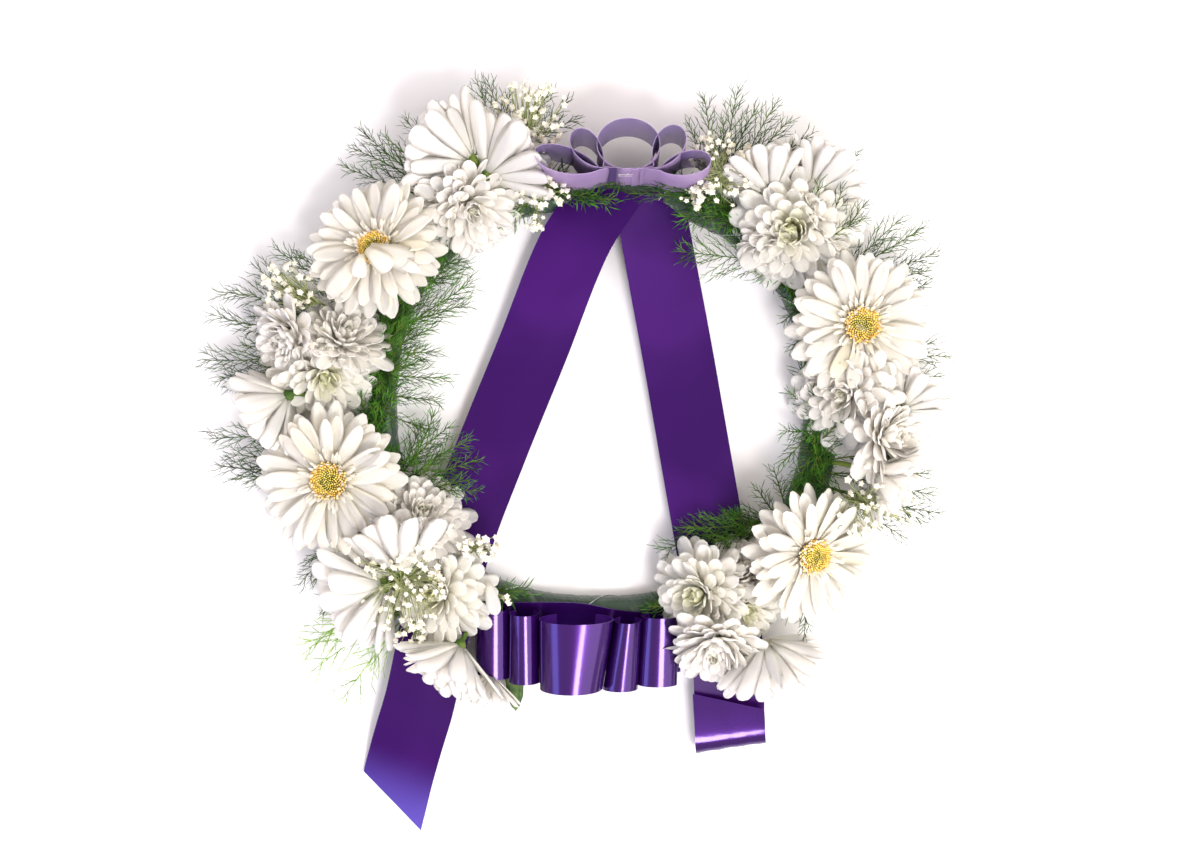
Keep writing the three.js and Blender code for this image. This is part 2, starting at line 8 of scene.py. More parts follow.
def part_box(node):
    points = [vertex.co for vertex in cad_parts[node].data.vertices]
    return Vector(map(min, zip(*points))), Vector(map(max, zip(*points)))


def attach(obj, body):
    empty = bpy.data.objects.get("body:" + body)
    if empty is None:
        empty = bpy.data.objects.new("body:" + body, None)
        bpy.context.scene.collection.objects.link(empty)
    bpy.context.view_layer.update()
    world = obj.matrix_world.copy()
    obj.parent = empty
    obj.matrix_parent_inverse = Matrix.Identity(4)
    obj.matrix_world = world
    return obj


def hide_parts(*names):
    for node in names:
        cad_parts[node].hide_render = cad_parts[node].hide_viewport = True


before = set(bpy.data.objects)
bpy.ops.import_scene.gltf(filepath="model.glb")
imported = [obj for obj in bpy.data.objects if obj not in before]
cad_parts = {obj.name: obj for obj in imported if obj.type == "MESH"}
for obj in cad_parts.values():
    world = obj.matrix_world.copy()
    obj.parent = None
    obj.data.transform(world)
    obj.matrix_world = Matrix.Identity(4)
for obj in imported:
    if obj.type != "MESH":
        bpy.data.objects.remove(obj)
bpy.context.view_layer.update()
print("frame loaded:", len(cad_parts), "solids")

mm = 0.001
goldenAngle = radians(137.508)
ringLow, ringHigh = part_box("ring_wrap")
ringMiddle = (ringLow + ringHigh) / 2
ringMiddle.z = 0
ring = {"halfWide": 157, "halfTall": 150, "squareness": 2.3, "mean": 155, "midHeight": 9}


def at(x, y, z):
    # millimetres about the middle of the ring, to metres in the frame
    return ringMiddle + Vector((x, y, z)) * mm


def around(a, reach, height):
    return at(reach * cos(a), reach * sin(a), height)


def directionOf(heading, lean):
    a, side = radians(heading), sin(radians(lean))
    return Vector((side * cos(a), side * sin(a), cos(radians(lean))))


def eased(stops, t):
    # the value at t of a list of (place, value) stops, smoothly joined
    for (t0, a), (t1, b) in zip(stops, stops[1:]):
        if t <= t1:
            s = max(0.0, (t - t0) / (t1 - t0))
            return a + (b - a) * (3 * s * s - 2 * s * s * s)
    return stops[-1][1]


def ringReach(angle):
    wide = abs(cos(angle) / ring["halfWide"]) ** ring["squareness"]
    tall = abs(sin(angle) / ring["halfTall"]) ** ring["squareness"]
    return (wide + tall) ** (-1 / ring["squareness"])


def linked(name, data):
    made = bpy.data.objects.new(name, data)
    bpy.context.collection.objects.link(made)
    return made


camera = {"lens": 68.6, "sensor": 36, "clipEnd": 20, "above": 1.6, "lookAt": (0.0, -22.4, 30.0)}
eye = bpy.data.cameras.new("camera")
eye.lens = camera["lens"]
eye.sensor_width = camera["sensor"]
eye.clip_end = camera["clipEnd"]
eyeObject = linked("camera", eye)
eyeObject.location = at(*camera["lookAt"]) + Vector((0, 0, camera["above"]))
bpy.context.scene.camera = eyeObject


class Wire:
    # one output of a node; maths on it adds the nodes that do it
    def __init__(self, graph, made, output=0):
        self.graph, self.made, self.socket = graph, made, made.outputs[output]

    def __getitem__(self, output):
        return Wire(self.graph, self.made, output)

    def __add__(self, other):
        return self.graph.maths("ADD", self, other)

    def __sub__(self, other):
        return self.graph.maths("SUBTRACT", self, other)

    def __rsub__(self, other):
        return self.graph.maths("SUBTRACT", other, self)

    def __mul__(self, other):
        return self.graph.maths("MULTIPLY", self, other)

    def __truediv__(self, other):
        return self.graph.maths("DIVIDE", self, other)

    def __rtruediv__(self, other):
        return self.graph.maths("DIVIDE", other, self)

    def __pow__(self, other):
        return self.graph.maths("POWER", self, other)

    def __rpow__(self, other):
        return self.graph.maths("POWER", other, self)

    __radd__ = __add__
    __rmul__ = __mul__


class Graph:
    def __init__(self, tree):
        self.tree = tree

    def node(self, kind, settings=None, sockets=None, output=0):
        made = self.tree.nodes.new(kind)
        for name, value in (settings or {}).items():
            if name == "stops":
                ramp = made.color_ramp
                ramp.elements.remove(ramp.elements[1])
                for i, (place, colour) in enumerate(value):
                    stop = ramp.elements[0] if i == 0 else ramp.elements.new(place)
                    stop.position = place
                    stop.color = (*colour, 1)
            else:
                setattr(made, name, value)
        for key, value in (sockets or {}).items():
            if isinstance(value, Wire):
                self.tree.links.new(value.socket, made.inputs[key])
            else:
                made.inputs[key].default_value = value
        return Wire(self, made, output) if len(made.outputs) else made

    def maths(self, operation, *values):
        return self.node("ShaderNodeMath", {"operation": operation}, dict(enumerate(values)))

    def blend(self, factor, a, b):
        a, b = [v if isinstance(v, Wire) else (*v, 1) for v in (a, b)]
        return self.node("ShaderNodeMix", {"data_type": "RGBA"}, {0: factor, 6: a, 7: b}, 2)

    def between(self, value, low, high, toLow=0.0, toHigh=1.0):
        return self.node("ShaderNodeMapRange", {"interpolation_type": "SMOOTHSTEP"},
                         {0: value, 1: low, 2: high, 3: toLow, 4: toHigh})

    def joined(self, x, y, z=0.0):
        return self.node("ShaderNodeCombineXYZ", None, {"X": x, "Y": y, "Z": z})

    def uv(self):
        # the piece's own map, whole and in its two parts
        uv = self.node("ShaderNodeUVMap", {"uv_map": "UVMap"})
        parts = self.node("ShaderNodeSeparateXYZ", None, {0: uv})
        return uv, parts["X"], parts["Y"]

    def inner(self):
        # how far in on its flower head a petal or floret stands, 0 at the rim and near 1 in the middle
        return self.node("ShaderNodeAttribute", {"attribute_name": "inner"}, None, "Fac")

    def noise(self, scale, detail=2.0, vector=None, distortion=0.0):
        # on the object's own coordinates unless a vector is given
        if vector is None:
            vector = self.node("ShaderNodeTexCoord", None, None, "Object")
        return self.node("ShaderNodeTexNoise", None,
                         {"Vector": vector, "Scale": scale, "Detail": detail, "Distortion": distortion})

    def bump(self, height, strength, distance):
        return self.node("ShaderNodeBump", None,
                         {"Strength": strength, "Distance": distance, "Height": height})


def material(name, paint, **constants):
    made = bpy.data.materials.new(name)
    made.use_nodes = True
    graph = Graph(made.node_tree)
    shader = made.node_tree.nodes["Principled BSDF"]
    for key, value in constants.items():
        shader.inputs[key.replace("_", " ")].default_value = value
    for key, value in paint(graph).items():
        made.node_tree.links.new(value.socket, shader.inputs[key])
    return made


def petalPaint(white, shade, heart, heartShare, mottling):
    def paint(graph):
        _, along, across = graph.uv()
        inner = graph.inner()
        # lengthwise grooves: they bump the petal and vary its roughness, and painted shade darkens them
        grooveShade = graph.noise(1.0, 3.0, graph.joined(along * 1.6, across * 26, inner * 40))
        mottle = graph.noise(260.0)
        centre = graph.between(inner, 1 - heartShare, 1.0)
        tinge = graph.maths("MINIMUM", centre + graph.between(along, 0.55, 0.0) * 0.35, 1.0)
        colour = graph.blend(graph.between(grooveShade, 0.42, 0.66, 0.0, 0.8), white, shade)
        colour = graph.blend(graph.between(mottle, 0.5, 0.75, 0.0, mottling), colour, shade)
        colour = graph.blend(tinge * 0.8, colour, heart)
        return {"Base Color": colour, "Normal": graph.bump(grooveShade + mottle * 0.3, 0.35, 0.0006),
                "Roughness": graph.between(grooveShade, 0.3, 0.7, 0.5, 0.68)}
    return paint


petalColours = {  # white, its painted shade for the grooves (also the colour of the mottling), the heart's tint, the share of the head that has it, and the mottling
    "whitePetal": ((0.99, 0.965, 0.89), (0.96, 0.91, 0.80), (0.93, 0.92, 0.64), 0.2, 0.2),
    "greenHeartPetal": ((0.985, 0.965, 0.87), (0.95, 0.92, 0.76), (0.86, 0.88, 0.40), 0.36, 0.2),
    "creamPetal": ((0.985, 0.955, 0.85), (0.95, 0.88, 0.68), (0.93, 0.84, 0.54), 0.02, 0.15),
}
petalFinish = {"Subsurface_Weight": 0.6, "Subsurface_Scale": 0.012, "Subsurface_Radius": (1.0, 0.9, 0.8),
               "Specular_IOR_Level": 0.3}
whitePetal, greenHeartPetal, creamPetal = (
    material(name, petalPaint(*colours), **petalFinish) for name, colours in petalColours.items())


def discPaint(graph):
    grain, patch = graph.noise(620.0), graph.noise(230.0, 1.0)
    rings = graph.node("ShaderNodeValToRGB", {"stops": [
        (0.0, (0.92, 0.74, 0.30)), (0.25, (0.86, 0.50, 0.06)), (0.5, (0.88, 0.62, 0.10)),
        (0.74, (0.82, 0.62, 0.08)), (1.0, (0.66, 0.56, 0.08))]}, {0: graph.inner() + (patch - 0.5) * 0.9})
    colour = graph.blend(graph.between(grain, 0.42, 0.66, 0.0, 0.6), rings, (0.94, 0.80, 0.36))
    return {"Base Color": colour, "Roughness": graph.between(grain, 0.2, 0.8, 0.6, 0.85)}


def leafPaint(dark, light, scale):
    def paint(graph):
        patch = graph.noise(scale, 3.0)
        return {"Base Color": graph.blend(graph.between(patch, 0.35, 0.65), dark, light),
                "Roughness": graph.between(patch, 0.3, 0.7, 0.45, 0.65),
                "Normal": graph.bump(patch, 0.2, 0.0005)}
    return paint


leafColours = {  # dark, light, fineness of the patches, and the gloss
    "fernGreen": ((0.009, 0.042, 0.010), (0.055, 0.17, 0.028), 90.0, 0.2),
    "brightFern": ((0.010, 0.060, 0.008), (0.11, 0.33, 0.03), 110.0, 0.2),
    "limeGreen": ((0.16, 0.34, 0.03), (0.38, 0.60, 0.10), 90.0, 0.2),
    "stemGreen": ((0.035, 0.085, 0.012), (0.14, 0.20, 0.035), 120.0, 0.2),
    "leafGreen": ((0.035, 0.09, 0.02), (0.12, 0.20, 0.05), 180.0, 0.3),
    "breathWhite": ((0.80, 0.77, 0.58), (0.94, 0.93, 0.88), 500.0, 0.2),
    "breathStem": ((0.22, 0.27, 0.10), (0.38, 0.42, 0.18), 200.0, 0.5),
}
goldDisc = material("goldDisc", discPaint)
fernGreen, brightFern, limeGreen, stemGreen, leafGreen, breathWhite, breathStem = (
    material(name, leafPaint(dark, light, scale), Specular_IOR_Level=gloss)
    for name, (dark, light, scale, gloss) in leafColours.items())


def ribbonPaint(deep, sheen, roughLow, roughHigh, paintedReflection):
    def paint(graph):
        uv, along, across = graph.uv()
        weave = graph.noise(1.0, 1.0, graph.joined(along * 1500, across * 2600))
        cloud = graph.noise(9.0, 2.0, uv)
        colour = graph.blend(graph.between(weave, 0.35, 0.65, 0.0, 0.35), deep, sheen)
        # broad patches of painted sheen: the colour turns towards the sheen colour there
        colour = graph.blend(graph.between(cloud, 0.44, 0.64, 0.0, 0.75), colour, sheen)
        # a painted reflection: towards the tail's end the colour turns blue, as if the end caught the light
        if paintedReflection:
            start, end, tint = paintedReflection
            colour = graph.blend(graph.between(along, start, end, 0.0, 0.85), colour, tint)
        return {"Base Color": colour, "Roughness": graph.between(weave, 0.3, 0.7, roughLow, roughHigh),
                "Normal": graph.bump(weave, 0.06, 0.0001)}
    return paint


paintedBlueReflection = (0.525, 0.585, (0.105, 0.075, 0.44))  # where along the tails the painted blue reflection starts and is full, and its colour
thinSatin = {"Specular_IOR_Level": 0.35, "Subsurface_Weight": 0.7, "Subsurface_Scale": 0.004,
             "Subsurface_Radius": (1.0, 1.0, 1.0)}
satins = {  # deep and sheen colours, roughness from and to, the painted reflection if any, and the finish
    "tailSatin": ((0.025, 0.0016, 0.074), (0.055, 0.007, 0.135), 0.30, 0.38, paintedBlueReflection,
                  {"Specular_IOR_Level": 0.1}),
    "bowSatin": ((0.030, 0.0018, 0.095), (0.044, 0.0034, 0.130), 0.22, 0.28, None,
                 {"Metallic": 0.6, "Specular_IOR_Level": 0.1, "Coat_Weight": 0.62, "Coat_Roughness": 0.12}),
    # the bottom bow's inner face is painted lighter than its outer face, a painted highlight for the light
    # caught on the band
    "litBowInside": ((0.06, 0.008, 0.20), (0.11, 0.02, 0.32), 0.26, 0.32, None,
                  {"Metallic": 0.3, "Coat_Weight": 0.3, "Coat_Roughness": 0.15}),
    # the top bow is painted lighter than the tails and its inner face lighter still: painted light coming
    # through the thin ribbon
    "litTopBowSatin": ((0.085, 0.048, 0.180), (0.115, 0.066, 0.220), 0.36, 0.5, None, thinSatin),
    "litTopBowInside": ((0.33, 0.22, 0.46), (0.39, 0.265, 0.51), 0.42, 0.55, None, thinSatin),
}
tailSatin, bowSatin, litBowInside, litTopBowSatin, litTopBowInside = (
    material(name, ribbonPaint(*colours), **finish) for name, (*colours, finish) in satins.items())


def filmPaint(graph):
    _, along, across = graph.uv()
    crease = graph.noise(1.0, 3.0, graph.joined(along * 190 + across * 110, across * 26), 0.7)
    cloud = graph.noise(40.0, 3.0)
    colour = graph.blend(graph.between(cloud, 0.35, 0.65), (0.028, 0.050, 0.034), (0.052, 0.088, 0.060))
    # the creases are painted lighter: a painted glint along them
    colour = graph.blend(graph.between(crease, 0.62, 0.72, 0.0, 0.5), colour, (0.16, 0.20, 0.16))
    return {"Base Color": colour, "Roughness": graph.between(crease, 0.35, 0.6, 0.16, 0.3),
            "Normal": graph.bump(crease, 0.45, 0.0012)}


def mossPaint(graph):
    tuft = graph.noise(300.0, 6.0)
    colour = graph.blend(graph.between(tuft, 0.4, 0.6), (0.05, 0.04, 0.02), (0.16, 0.13, 0.06))
    return {"Base Color": colour, "Normal": graph.bump(tuft, 0.9, 0.003)}


def steelPaint(graph):
    scratch = graph.noise(700.0)
    return {"Base Color": graph.blend(scratch, (0.62, 0.63, 0.66), (0.88, 0.88, 0.9)),
            "Roughness": graph.between(scratch, 0.3, 0.7, 0.18, 0.32)}


wrapFilm = material("wrapFilm", filmPaint, Specular_IOR_Level=0.35)
dryMoss = material("dryMoss", mossPaint, Roughness=0.95)
steelWire = material("steelWire", steelPaint, Metallic=1.0)
print("materials made")


def toObject(name, verts, faces, uvs=None, smooth=True):
    mesh = bpy.data.meshes.new(name)
    mesh.from_pydata([tuple(v) for v in verts], [], faces)
    if uvs:
        layer = mesh.uv_layers.new(name="UVMap")
        for loop in mesh.loops:
            layer.data[loop.index].uv = uvs[loop.vertex_index]
    mesh.polygons.foreach_set("use_smooth", [smooth] * len(mesh.polygons))
    mesh.update()
    return linked(name, mesh)


def curveObject(name, splines):
    # poly splines, each a list of (point, radius)
    data = bpy.data.curves.new(name, "CURVE")
    data.dimensions = "3D"
    for spline in splines:
        made = data.splines.new("POLY")
        made.points.add(len(spline) - 1)
        for spot, (point, radius) in zip(made.points, spline):
            spot.co = (*point, 1)
            spot.radius = radius
    return linked(name, data)


def plainMesh(source):
    # the mesh that an object comes to, with its modifiers or its bevel done
    bpy.context.view_layer.update()
    return bpy.data.meshes.new_from_object(source.evaluated_get(bpy.context.evaluated_depsgraph_get()))


def finished(name, source, tree, values, place=None):
    # runs a node tree on an object and keeps the result as a plain mesh
    modifier = source.modifiers.new("grow", "NODES")
    modifier.node_group = tree
    for socket in tree.interface.items_tree:
        if socket.in_out == "INPUT" and socket.name in values:
            modifier[socket.identifier] = values[socket.name]
    mesh = plainMesh(source)
    source.modifiers.remove(modifier)
    bpy.data.objects.remove(source)
    if place:
        mesh.transform(place)
    mesh.name = name
    return linked(name, mesh)


def treeOf(name, inputs):
    tree = bpy.data.node_groups.new(name, "GeometryNodeTree")
    kinds = {"Geometry": "Geometry", "Count": "Int", "Seed": "Int", "Petals": "Collection",
             "Floret": "Object", "Needle": "Object", "Material": "Material", "Stem material": "Material"}
    for key in ("Geometry", *inputs):
        kind = "NodeSocket" + kinds.get(key, "Float")
        tree.interface.new_socket(name=key, in_out="INPUT", socket_type=kind)
    tree.interface.new_socket(name="Geometry", in_out="OUTPUT", socket_type="NodeSocketGeometry")
    graph = Graph(tree)
    return tree, graph, graph.node("NodeGroupInput")


def chancer(graph, given):
    # the item's own number, and a maker of random numbers for it, each with a draw of its own
    index = graph.node("GeometryNodeInputIndex")

    def chance(low, high, draw):
        return graph.node("FunctionNodeRandomValue", {"data_type": "FLOAT"},
                          {2: low, 3: high, "ID": index, "Seed": given["Seed"] + draw}, 1)
    return index, chance


def coloured(graph, geometry, paint):
    return graph.node("GeometryNodeSetMaterial", None, {"Geometry": geometry, "Material": paint})


def realised(graph, given, instances):
    real = graph.node("GeometryNodeRealizeInstances", None, {0: instances})
    return coloured(graph, real, given["Material"])


def shapeOf(graph, thing):
    return graph.node("GeometryNodeObjectInfo", None, {"Object": thing}, "Geometry")


def setOut(graph, given, place, inner, instancing):
    # one point for each item, an instance on each, and how far in it stands
    line = graph.node("GeometryNodeMeshLine", {"mode": "OFFSET"},
                      {"Count": given["Count"], "Offset": (0, 0, 0)})
    spots = graph.node("GeometryNodeSetPosition", None, {"Geometry": line, "Position": place})
    placed = graph.node("GeometryNodeInstanceOnPoints", None, {"Points": spots, **instancing})
    marked = graph.node("GeometryNodeStoreNamedAttribute", {"data_type": "FLOAT", "domain": "INSTANCE"},
                        {"Geometry": placed, "Name": "inner", "Value": inner})
    graph.node("NodeGroupOutput", None, {0: realised(graph, given, marked)})


def withStems(graph, given, instances):
    # the curves become thin stems under what grows on them
    profile = graph.node("GeometryNodeCurvePrimitiveCircle", {"mode": "RADIUS"},
                         {"Resolution": 4, "Radius": given["Stem radius"]})
    stems = graph.node("GeometryNodeCurveToMesh", None, {
        "Curve": given["Geometry"], "Profile Curve": profile, "Scale": graph.node("GeometryNodeInputRadius"),
        "Fill Caps": True})
    both = graph.tree.nodes.new("GeometryNodeJoinGeometry")
    for part in (coloured(graph, stems, given["Stem material"]), realised(graph, given, instances)):
        graph.tree.links.new(part.socket, both.inputs[0])
    graph.node("NodeGroupOutput", None, {0: Wire(graph, both)})


def painted(piece, paint):
    piece.data.materials.clear()
    piece.data.materials.append(paint)
    return piece


def laidAt(base, heading):
    return Matrix.Translation(at(*base)) @ Matrix.Rotation(radians(heading), 4, "Z")


def keep(piece, slot, *nodes):
    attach(piece, "root")
    if nodes:
        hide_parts(*nodes)
    return piece


# length, width, rise at the foot, curl, cup, grooves and twist of each kind of petal
chrysanthemumForms = [  # innermost first
    (24, 9.0, 6, 66, 0.42, 0.05, 6), (27, 10.2, 2, 50, 0.34, 0.06, -8), (29, 11.2, 0, 34, 0.26, 0.08, 9),
    (31, 11.4, -2, 22, 0.22, 0.09, -6), (32, 12.4, -2, 12, 0.20, 0.10, 10), (34, 11.8, 0, 2, 0.18, 0.10, -8),
    (32, 12.6, 2, -8, 0.14, 0.10, 8), (35, 12.0, 4, -14, 0.10, 0.10, -5)]
fanForms = [  # for the heads that are seen from behind
    (34, 13.2, 0, 16, 0.22, 0.08, 5), (37, 14.4, -2, 8, 0.18, 0.08, -6), (38, 13.6, 2, -6, 0.20, 0.09, 4),
    (40, 14.8, 0, 4, 0.16, 0.08, -4)]
gerberaForms = [
    (41, 11.6, 16, -18, 0.16, 0.10, 6), (42, 13.0, 12, -10, 0.10, 0.14, -8),
    (43, 12.4, 9, -16, -0.06, 0.16, 4), (43, 13.4, 8, -4, 0.14, 0.12, -5), (42, 12.6, 6, -22, 0.10, 0.14, 9)]
collarForms = [(13, 3.0, 6, 24, 0.3, 0.1, 10), (15, 3.4, 0, 10, 0.3, 0.1, -14)]  # short florets round a disc
petalProfile = {  # share of the full width along the petal
    "chrysanthemum": [(0, 0.34), (0.25, 0.62), (0.5, 0.9), (0.7, 1), (0.87, 0.92), (0.96, 0.68), (1, 0.34)],
    "gerbera": [(0, 0.5), (0.2, 0.74), (0.45, 0.94), (0.64, 1.0), (0.82, 0.90), (0.94, 0.64), (1, 0.28)],
    "collar": [(0, 0.5), (0.5, 1.0), (0.8, 0.8), (1, 0.2)],
}
petalAcross = [-1, -0.5, 0, 0.5, 1, 0.5, 0, -0.5]  # over the upper face, then back under it
upperPoints = 5


def petalObject(name, form, profile, rows=7, thickness=0.45, notch=1.1):
    length, width, rise, curl, cup, groove, twist = form
    verts, faces, uvs = [], [], []
    spot, angle, last = Vector((0, 0, 0)), radians(rise), 0.0
    for i in range(rows):
        u = sin(pi / 2 * i / (rows - 1))
        angle += radians(curl) * (u - last)
        onward = Vector((cos(angle), 0, sin(angle)))
        spot = spot + onward * ((u - last) * length)
        last = u
        normal = Vector((-sin(angle), 0, cos(angle)))
        half = width / 2 * eased(profile, u)
        roll = radians(twist) * u
        for j, v in enumerate(petalAcross):
            lift = cup * half * v * v - (groove * half if abs(v) == 0.5 else 0)
            lift -= thickness if j >= upperPoints else 0
            ahead = -notch * u ** 8 * {0: 1.0, 0.5: 0, 1: 0.5}[abs(v)]
            side = v * half * cos(roll) - lift * sin(roll)
            up = v * half * sin(roll) + lift * cos(roll)
            verts.append((spot + normal * up + Vector((0, side, 0)) + onward * ahead) * mm)
            uvs.append((u, 0.5 + v / 2))
    sides = len(petalAcross)
    for i in range(rows - 1):
        for j in range(sides):
            a, b = i * sides + j, i * sides + (j + 1) % sides
            faces.append((a, a + sides, b + sides, b))
    faces.append(tuple(range(sides)))
    faces.append(tuple(range(rows * sides - 1, (rows - 1) * sides - 1, -1)))
    return toObject(name, verts, faces, uvs)


def petalCollection(name, forms, profile, rows=7):
    group = bpy.data.collections.new(name)
    for i, form in enumerate(forms):
        made = petalObject(f"{name}{i}", form, petalProfile[profile], rows)
        bpy.context.collection.objects.unlink(made)
        group.objects.link(made)
    return group


def headTree():
    # petals set round an axis in a spiral, upright in the middle and laid back outside
    tree, graph, given = treeOf("petalHead", [
        "Petals", "Count", "Seed", "Size", "Inner tilt", "Outer tilt", "Tilt law", "Inner length",
        "Inner radius", "Base radius", "Base height", "Spread", "Variants", "Material"])
    index, chance = chancer(graph, given)
    t = index / (given["Count"] - 1)
    turn = index * goldenAngle + chance(-1.0, 1.0, 1) * given["Spread"]
    tilt = given["Inner tilt"] + (given["Outer tilt"] - given["Inner tilt"]) * t ** given["Tilt law"]
    tilt = tilt + chance(-1.0, 1.0, 2) * given["Spread"] * 0.8
    long = given["Inner length"] + (1 - given["Inner length"]) * t ** 0.6
    size = given["Size"] * long * chance(0.9, 1.08, 3)
    reach = given["Size"] * (given["Inner radius"] + (given["Base radius"] - given["Inner radius"]) * t)
    place = graph.joined(reach * graph.maths("COSINE", turn), reach * graph.maths("SINE", turn),
                         given["Base height"] * given["Size"] * (1 - t))
    kinds = graph.node("GeometryNodeCollectionInfo", None,
                       {"Collection": given["Petals"], "Separate Children": True, "Reset Children": True})
    which = graph.maths("FLOOR", t * (given["Variants"] - 0.01) + chance(-0.6, 0.6, 6))
    setOut(graph, given, place, 1 - t, {
        "Instance": kinds, "Pick Instance": True, "Instance Index": graph.maths("MAXIMUM", which, 0.0),
        "Rotation": graph.joined(chance(-0.22, 0.22, 4), 0 - tilt, turn),
        "Scale": graph.joined(size, size * chance(0.88, 1.1, 5), size)})
    return tree


def axisPlace(heart, leanTo, lean, spin=0):
    turn = Vector((0, 0, 1)).rotation_difference(directionOf(leanTo, lean))
    return Matrix.Translation(heart) @ turn.to_matrix().to_4x4() @ Matrix.Rotation(spin, 4, "Z")


def grown(name, tree, values, place):
    # a node tree's result from nothing but its values
    return finished(name, toObject("seed", [], []), tree, values, place)


# how a head sits: leaning ones are half closed, and the ones that lean farthest turn their backs up
stance = {"seat": 0.31, "gerberaSeat": 30, "ringTop": 18, "clearance": 2.5, "closesFrom": 24,
          "closesOver": 30, "turnsFrom": 54, "turnsOver": 6, "setBack": 0.34, "bigHead": 38, "bigLift": 9,
          "smallLift": -3, "extraTurn": 50, "mostTurn": 118}


def heartOf(flower, seat):
    angle, reach, size, _, lean = flower
    clear = size / 2 * sin(radians(lean)) + stance["clearance"]
    return around(radians(angle), reach, max(stance["ringTop"] + seat, clear))


def closedShare(lean):
    return min(max((lean - stance["closesFrom"]) / stance["closesOver"], 0), 1)


def fanShare(lean):
    return min(max((lean - stance["turnsFrom"]) / stance["turnsOver"], 0), 1)


def neckOf(flower):
    # where the petals of a chrysanthemum spring from; a half closed head starts further back
    _, _, size, leanTo, lean = flower
    back = directionOf(leanTo, 90) * stance["setBack"] * size * closedShare(lean)
    lift = stance["bigLift"] if size > stance["bigHead"] else stance["smallLift"]
    return heartOf(flower, stance["seat"] * size) + (Vector((0, 0, lift)) * fanShare(lean) - back) * mm


def facingOf(flower):
    return min(flower[4] + stance["extraTurn"] * fanShare(flower[4]), stance["mostTurn"])


# angle and reach about the ring, width across, heading and angle of its lean; the last one has no node
chrysanthemums = [
    (123.5, 161, 56, 300, 30), (121, 207, 60, 150, 72), (110.5, 183, 60, 45, 68), (170, 231, 50, 200, 50),
    (163.5, 181, 50, 60, 45), (174, 193, 56, 300, 22), (181.5, 231, 52, 215, 62), (212, 145, 56, 60, 35),
    (215, 172, 62, 105, 62), (218.5, 216, 62, 200, 62), (230.2, 174, 58, 190, 26), (240, 214, 55, 240, 58),
    (248.3, 219, 36, 250, 58), (54, 198, 48, 100, 65), (46, 222, 50, 60, 68), (41.8, 181, 66, 220, 14),
    (38.5, 213, 46, 30, 50), (40, 153, 40, 240, 50), (1.5, 170, 62, 200, 28), (2, 217, 42, 60, 68),
    (353, 210, 58, 0, 42), (344.5, 213, 50, 330, 58), (296.5, 151, 56, 200, 32), (311, 150, 46, 100, 38),
    (305, 176, 44, 320, 28), (294, 196, 52, 260, 48), (303.5, 221, 56, 290, 62), (128.5, 189, 42, 170, 45),
]
chrysanthemum = {
    "Petals": petalCollection("chrysanthemumPetal", chrysanthemumForms, "chrysanthemum"), "Count": 104,
    "Inner tilt": radians(64), "Tilt law": 0.6, "Inner length": 0.46, "Inner radius": 0.0005,
    "Base radius": 0.005, "Base height": 0.003, "Spread": 0.11, "Variants": 8.0, "Material": whitePetal}
fan = {"Petals": petalCollection("fanPetal", fanForms, "chrysanthemum"), "Count": 64,
       "Inner tilt": radians(66), "Tilt law": 1.0, "Inner length": 0.8, "Inner radius": 0.001,
       "Base radius": 0.004, "Variants": 4.0, "Spread": 0.08}
headShape = {"openTilt": -10, "closingTilt": 32, "fullSize": 56, "scale": 1.06, "closingScale": 0.04,
             "spin": 1.7, "lowest": 0.6 * mm}  # fullSize is the width across that the petal forms give
greenHearts = (6, 11, 16, 23, 25)
tuckedHeads = (13, 27)  # no calyx shows on these two
nodeHeads = 27
gerberaPetals = petalCollection("gerberaPetal", gerberaForms, "gerbera", 9)
collarPetals = petalCollection("collarPetal", collarForms, "collar", 4)
petalTree = headTree()
for i, flower in enumerate(chrysanthemums, 1):
    _, _, size, leanTo, lean = flower
    closed = closedShare(lean)
    fuller = headShape["scale"] + headShape["closingScale"] * closed
    values = {**chrysanthemum, **(fan if fanShare(lean) > 0.5 else {}), "Seed": (i - 1) * 20,
              "Size": size / headShape["fullSize"] * fuller,
              "Outer tilt": radians(headShape["openTilt"] + headShape["closingTilt"] * closed)}
    if i in greenHearts:
        values["Material"] = greenHeartPetal
    piece = grown(f"chrysanthemumHead{i:02d}", petalTree, values,
                  axisPlace(neckOf(flower), leanTo, facingOf(flower), (i - 1) * headShape["spin"]))
    for vertex in piece.data.vertices:
        vertex.co.z = max(vertex.co.z, headShape["lowest"])
    keep(piece, "white_petal", *([f"chrysanthemum_{i:02d}"] if i <= nodeHeads else []))

loosePetals = [  # base and heading, then the form; two white ones, and cream ones at the upper left
    ((105, -187, 24), 229, (27, 8, 4, -4, 0.3, 0.1, 0)),
    ((-78, -124, 46), 286, (26, 10, 40, -30, 0.2, 0.1, 0)),
    ((-160, 104, 66), 322, (23, 15, 42, -62, -0.2, 0.05, 0)),
    ((-158, 106, 62), 340, (40, 19, 40, -70, -0.25, 0.04, 0)),
    ((-163, 101, 65), 262, (18, 12, 44, -60, -0.1, 0.08, 0)),
    ((-166, 98, 60), 232, (34, 14, 30, -50, -0.1, 0.08, 0))]
whiteOnes = 2
for i, (base, heading, form) in enumerate(loosePetals):
    petal = petalObject(f"loosePetal{i + 1}", form, petalProfile["chrysanthemum"])
    petal.data.transform(laidAt(base, heading))
    white = i < whiteOnes
    keep(painted(petal, whitePetal if white else creamPetal), "white_petal" if white else "cream_petal")
print("chrysanthemums grown")

